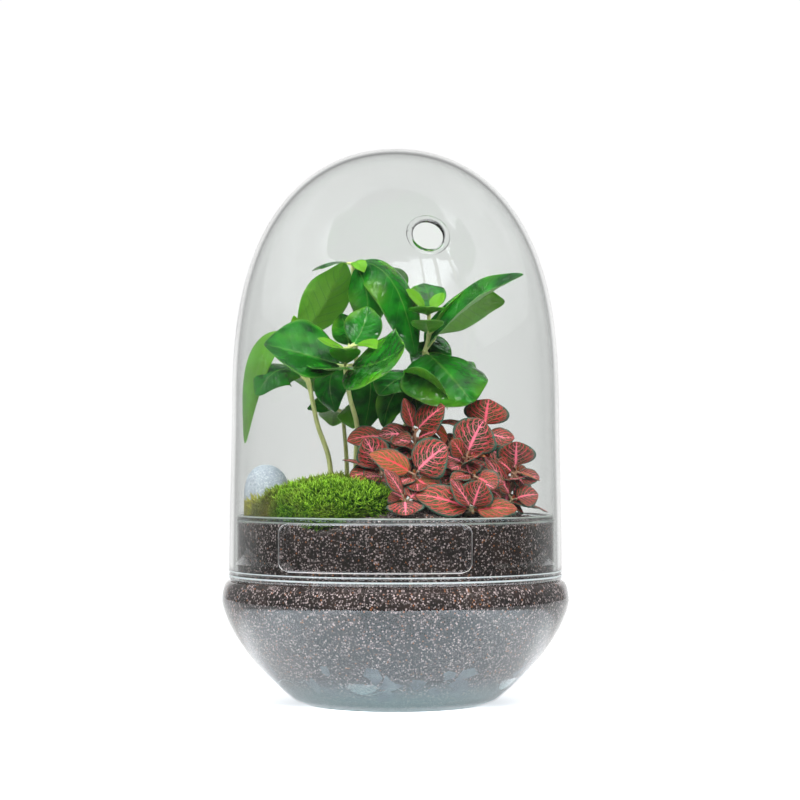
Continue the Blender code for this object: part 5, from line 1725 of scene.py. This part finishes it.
class TERRARIUM_OT_label(bpy.types.Operator):
    """Lays the bare clear label on the dome's front"""

    bl_idname = "terrarium.label"
    bl_label = "Build Label"

    def execute(self, context):
        columns, rows = 72, 20
        inside = DOME_FOOT_RADIUS + LABEL_LIFT
        across = [2 * i / columns - 1 for i in range(columns + 1)]
        upwards = [2 * j / rows - 1 for j in range(rows + 1)]
        points = []
        for radius in (inside + LABEL_THICKNESS, inside):
            points += [label_point(u, v, radius) for v in upwards for u in across]
        label = new_object("clear_label", points, plate_faces(rows, columns), film_finish(LABEL_FILM))
        carry(label, "edge", [float(abs(u) == 1 or abs(v) == 1) for v in upwards for u in across] * 2)
        face_outwards(label)
        label.visible_shadow = False
        place(label, "glass")
        return {"FINISHED"}


class TERRARIUM_OT_gravel(bpy.types.Operator):
    """Builds the drainage stones in their bed"""

    bl_idname = "terrarium.gravel"
    bl_label = "Build Drainage Stones"

    def execute(self, context):
        given = context.scene.terrarium.filling
        stone = stone_finish("drainage_stone", given.stone_dark, given.stone_light, 900.0, given.stone_light)
        skin = soil_finish("stone_bed", given.soil_dark, given.soil_brown, given.fleck, given.painted_veil_colour)
        rng = random.Random(5)
        spots, sizes = [], []
        for i in range(given.stones):
            angle = 2 * math.pi * (i + rng.uniform(-0.4, 0.4)) / given.stones * 3
            size = rng.uniform(*STONE_SIZES)
            height = STONE_START + (i % 3) * STONE_STEP + rng.uniform(-1.0, 2.0)
            spots.append(polar(angle, belly_radius(height, BOWL_WALL + size * 0.1), height))
            sizes.append(size)
        stones = new_object("gravel_stones", spots, [])
        carry(stones, "size", sizes)
        model = chip("stone_model", 0.5, 3.0)
        grown(stones, placed_tree(), {"Stone": model, "Seed": 4, "Material": stone})
        bpy.data.objects.remove(model)
        press_inside(stones.data)
        for face in stones.data.polygons:
            face.use_smooth = False
        bed = new_object("gravel_bed", *lathe(gravel_rows(96)), skin)
        face_outwards(bed)
        join(stones, bed)
        place(stones, "gravel", "drainage_gravel")
        return {"FINISHED"}


class TERRARIUM_OT_soil(bpy.types.Operator):
    """Builds the soil with its pale flecks"""

    bl_idname = "terrarium.soil"
    bl_label = "Build Soil"

    def execute(self, context):
        given = context.scene.terrarium.filling
        skin = soil_finish("potting_soil", given.soil_dark, given.soil_brown, given.fleck, given.painted_veil_colour)
        pale = stone_finish("pale_fleck", toned(given.fleck, 0.6), given.fleck, 2000.0, given.fleck)
        bed = new_object("soil_bed", *lathe(soil_rows(192)), skin)
        face_outwards(bed)
        flecks = bpy.data.objects.new("soil_flecks", bed.data.copy())
        context.scene.collection.objects.link(flecks)
        model = chip("grain_model", 0.6, 8.0)
        least, greatest = FLECK_SIZES
        grown(flecks, scatter_tree(), {
            "Grain": model, "Density": given.fleck_density, "Seed": 2, "Least Size": least,
            "Greatest Size": greatest, "Material": pale,
        })
        bpy.data.objects.remove(model)
        join(bed, flecks)
        place(bed, "soil", "soil")
        return {"FINISHED"}


class TERRARIUM_OT_pebble(bpy.types.Operator):
    """Builds the pebble that stands in the soil"""

    bl_idname = "terrarium.pebble"
    bl_label = "Build Pebble"

    def execute(self, context):
        given = context.scene.terrarium.filling
        skin = stone_finish("pebble_stone", given.pebble_dark, given.pebble_light, 900.0, PEBBLE_SPECK)
        shell = bmesh.new()
        bmesh.ops.create_uvsphere(shell, u_segments=72, v_segments=48, radius=1.0)
        turn = Matrix.Rotation(PEBBLE_TILT, 3, "Y")
        points = []
        for v in shell.verts:
            lumpy = 1 + 0.035 * math.sin(3.1 * v.co.x + 1) * math.cos(2.3 * v.co.z)
            lumpy += 0.012 * noise.noise(v.co * 4)
            points.append(PEBBLE_CENTRE + turn @ Vector(a * b * lumpy for a, b in zip(v.co, PEBBLE_RADII)))
        faces = [tuple(v.index for v in face.verts) for face in shell.faces]
        shell.free()
        pebble = new_object("river_pebble", points, faces, skin)
        face_outwards(pebble)
        place(pebble, "pebble", "pebble")
        return {"FINISHED"}


class TERRARIUM_OT_moss(bpy.types.Operator):
    """Grows the moss cushion and the tuft beside it"""

    bl_idname = "terrarium.moss"
    bl_label = "Grow Moss"

    def execute(self, context):
        given = context.scene.terrarium.moss
        green = moss_finish("moss_green", given.root, given.middle, given.tip, given.old)
        straw = moss_finish("moss_straw", *STRAW_MOSS)
        shoot = moss_shoot_shape("shoot_model")
        tree = moss_tree()
        cushion = moss_mound("moss_cushion_shoots", MOSS_CENTRE, MOSS_RADII, MOSS_HEIGHT, 96, 20)
        tuft = moss_mound("moss_tuft_shoots", TUFT_CENTRE, TUFT_RADII, TUFT_HEIGHT, 32, 8)
        # The tuft's shoots are longer, stand straighter and are fewer.
        for mound, node, longer, lean, dense, seed, finish in (
            (cushion, "moss_cushion", 1.0, 1.0, 1.0, 3, green),
            (tuft, "moss_tuft", 1.45, 0.5, 0.7, 9, straw),
        ):
            grown(mound, tree, {
                "Shoot": shoot, "Least Length": given.least / MM * longer,
                "Greatest Length": given.greatest / MM * longer, "Lean": given.lean * lean,
                "Density": given.density * dense, "Seed": seed, "Material": finish,
            })
            press_inside(mound.data)
            place(mound, "moss", node)
        bpy.data.objects.remove(shoot)
        return {"FINISHED"}


class TERRARIUM_OT_coffee(bpy.types.Operator):
    """Grows the coffee seedlings"""

    bl_idname = "terrarium.coffee"
    bl_label = "Grow Coffee Seedlings"

    def execute(self, context):
        given = context.scene.terrarium.plants
        skin = coffee_finish(given.coffee_dark, given.coffee_fresh, given.coffee_lime, given.coffee_margin)
        stem = stem_finish("coffee_stem_skin", given.coffee_foot, given.coffee_stem, COFFEE_STREAK, 0.1, 0.13)
        for name, plan in COFFEE.items():
            place(coffee_plant(name, plan, skin, stem), "coffee_leaf", name)
        return {"FINISHED"}


class TERRARIUM_OT_nerve(bpy.types.Operator):
    """Grows the nerve plant's shoots"""

    bl_idname = "terrarium.nerve"
    bl_label = "Grow Nerve Plant"

    def execute(self, context):
        given = context.scene.terrarium.plants
        reds = (given.nerve_red, given.nerve_pink)
        skin = nerve_finish(given.nerve_ground, given.nerve_rim, *reds, given.nerve_young)
        stem = stem_finish("nerve_stem_skin", *NERVE_STEM, 0.09, 0.12)
        for name, plan in NERVE_PLANT.items():
            place(nerve_shoot(name, plan, skin, stem), "nerve_leaf", name)
        return {"FINISHED"}


def make_floor(given):
    """The pale floor, which gives off a little light round the bowl and at its far edge."""
    material, graph, shader = principled("pale_floor")
    where = object_place(graph)
    parts = graph.parts(where)
    wide = graph.math("ABSOLUTE", parts["X"])
    front = graph.times(graph.fade(wide, 0.32, 0.22), graph.fade(parts["Y"], 0.0, -0.09))
    beside = graph.times(graph.fade(wide, 0.05, 0.15), graph.fade(wide, 0.34, 0.22))
    beside = graph.times(beside, graph.fade(parts["Y"], 0.11, 0.0))
    away = graph.out("ShaderNodeVectorMath", "Value", {"Vector": where}, operation="LENGTH")
    round_foot = graph.times(graph.fade(away, 0.18, 0.07), 0.25)
    beside = graph.plus(graph.times(beside, 0.65), round_foot)
    near = graph.times(graph.plus(front, beside), given.glow)
    far = graph.times(graph.fade(parts["Y"], 0.9, 1.25), 0.15)
    graph.fill(shader, {
        "Base Color": graph.blend(graph.noise(where, 40.0, 3.0), toned(given.floor, 0.98), given.floor),
        "Roughness": 0.6, "Emission Color": (*COOL_WHITE, 1.0),
        "Emission Strength": graph.plus(near, graph.plus(far, 0.08)),
    })
    material.cycles.emission_sampling = "NONE"
    near_edge = [(x, FLOOR_FRONT, FLOOR_LEVEL) for x in (-FLOOR_SIDE, FLOOR_SIDE)]
    far_edge = [(x, FLOOR_BACK, FLOOR_LEVEL) for x in (FLOOR_SIDE, -FLOOR_SIDE)]
    corners = near_edge + far_edge
    new_object("floor", corners, [(0, 1, 2, 3)], material)


def make_room(scene, given):
    """The plain room that the glass mirrors: dim, with paler walls and a white one straight behind."""
    scene.world = bpy.data.worlds.new("soft_room")
    scene.world.use_nodes = True
    graph = Graph(scene.world.node_tree)
    behind = graph.parts(graph.out("ShaderNodeTexCoord", "Generated"))["Y"]
    walls = graph.times(graph.fade(behind, 0.0, 0.6), given.walls)
    white = graph.times(graph.fade(behind, 0.78, 0.94), 1.02)
    shade = graph.larger(graph.plus(walls, given.room), white)
    graph.put(graph.tree.nodes["Background"].inputs["Color"], shade)


def make_light(name, spot, aim, power, width, height, mirrored):
    """A rectangular light at the spot. Only a mirrored one shows as a highlight."""
    lamp = bpy.data.lights.new(name, "AREA")
    lamp.shape = "RECTANGLE"
    lamp.size, lamp.size_y, lamp.energy = width, height, power
    lamp.cycles.use_multiple_importance_sampling = False
    obj = bpy.data.objects.new(name, lamp)
    bpy.context.scene.collection.objects.link(obj)
    obj.location = spot
    obj.rotation_euler = (Vector(aim) - Vector(spot)).to_track_quat("-Z", "Y").to_euler()
    obj.visible_glossy = mirrored
    obj.visible_transmission = False
    return obj


def make_camera(scene, given):
    """The camera, which stands and looks as the photograph's did."""
    camera = bpy.data.objects.new("camera", bpy.data.cameras.new("camera"))
    scene.collection.objects.link(camera)
    camera.data.lens = given.lens
    camera.data.sensor_width = 36.0
    camera.data.clip_start, camera.data.clip_end = 0.05, 50.0
    camera.location = (given.offset, -given.camera_distance, given.camera_height)
    aim = Vector((given.offset, 0, given.aim_height)) - camera.location
    camera.rotation_euler = aim.to_track_quat("-Z", "Y").to_euler()
    scene.camera = camera


class TERRARIUM_OT_stage(bpy.types.Operator):
    """Sets up the floor, the light and the camera"""

    bl_idname = "terrarium.stage"
    bl_label = "Set Stage"

    def execute(self, context):
        given = context.scene.terrarium.stage
        make_floor(given)
        make_room(context.scene, given)
        plants = (0, 0, 0.14)  # where the first four lights aim
        make_light("top_light", (0.0, -0.7, 1.25), plants, given.top, 1.1, 1.1, False)
        make_light("key_light", (-0.9, -0.95, 0.9), plants, given.key, 0.6, 0.6, True)
        make_light("window_light", (0.12, -0.85, 1.0), plants, given.window, 0.10, 0.26, True)
        make_light("fill_light", (0.95, -0.8, 0.5), plants, given.fill, 0.7, 0.7, False)
        make_light("back_light", (0.0, 0.9, 1.2), (0, 0.9, 0), given.back, 2.4, 0.6, False)
        for i, x in enumerate((-0.5, -0.15, 0.28, 0.62)):
            strip = make_light(f"strip_{i}", (x, -0.15, 1.2), (x, -0.15, 0), given.strip, 0.035, 1.5, True)
            strip.visible_diffuse = False
        make_camera(context.scene, given)
        context.scene.view_settings.view_transform = "Standard"
        return {"FINISHED"}


OPERATORS = (
    TERRARIUM_OT_bowl, TERRARIUM_OT_dome, TERRARIUM_OT_label, TERRARIUM_OT_gravel, TERRARIUM_OT_soil,
    TERRARIUM_OT_pebble, TERRARIUM_OT_moss, TERRARIUM_OT_coffee, TERRARIUM_OT_nerve, TERRARIUM_OT_stage,
)
GROUPS = (GlassSettings, FillingSettings, MossSettings, PlantSettings, StageSettings, TerrariumSettings)


class TERRARIUM_PT_panel(bpy.types.Panel):
    """Lists the terrarium's settings and pieces"""

    bl_idname = "TERRARIUM_PT_panel"
    bl_label = "Plant Terrarium"
    bl_space_type = "VIEW_3D"
    bl_region_type = "UI"
    bl_category = "Terrarium"

    def draw(self, context):
        settings = context.scene.terrarium
        for label in ("glass", "filling", "moss", "plants", "stage"):
            box = self.layout.box()
            box.label(text=label.title())
            group = getattr(settings, label)
            for key in group.bl_rna.properties.keys():
                if key not in ("rna_type", "name"):
                    box.prop(group, key)
        for operator in OPERATORS:
            self.layout.operator(operator.bl_idname)


def register():
    """Adds the settings, the operators and the panel to Blender."""
    for group in GROUPS:
        bpy.utils.register_class(group)
    bpy.types.Scene.terrarium = bpy.props.PointerProperty(
        type=TerrariumSettings, name="Terrarium", description="The terrarium's settings"
    )
    for operator in OPERATORS:
        bpy.utils.register_class(operator)
    bpy.utils.register_class(TERRARIUM_PT_panel)


def unregister():
    """Takes them out again."""
    bpy.utils.unregister_class(TERRARIUM_PT_panel)
    for operator in reversed(OPERATORS):
        bpy.utils.unregister_class(operator)
    del bpy.types.Scene.terrarium
    for group in reversed(GROUPS):
        bpy.utils.unregister_class(group)


def main():
    """Builds every piece and the stage."""
    register()
    ops = bpy.ops.terrarium
    for build in (
        ops.bowl, ops.dome, ops.label, ops.gravel, ops.soil, ops.pebble, ops.moss, ops.coffee, ops.nerve,
        ops.stage,
    ):
        build()


if __name__ == "__main__":
    main()
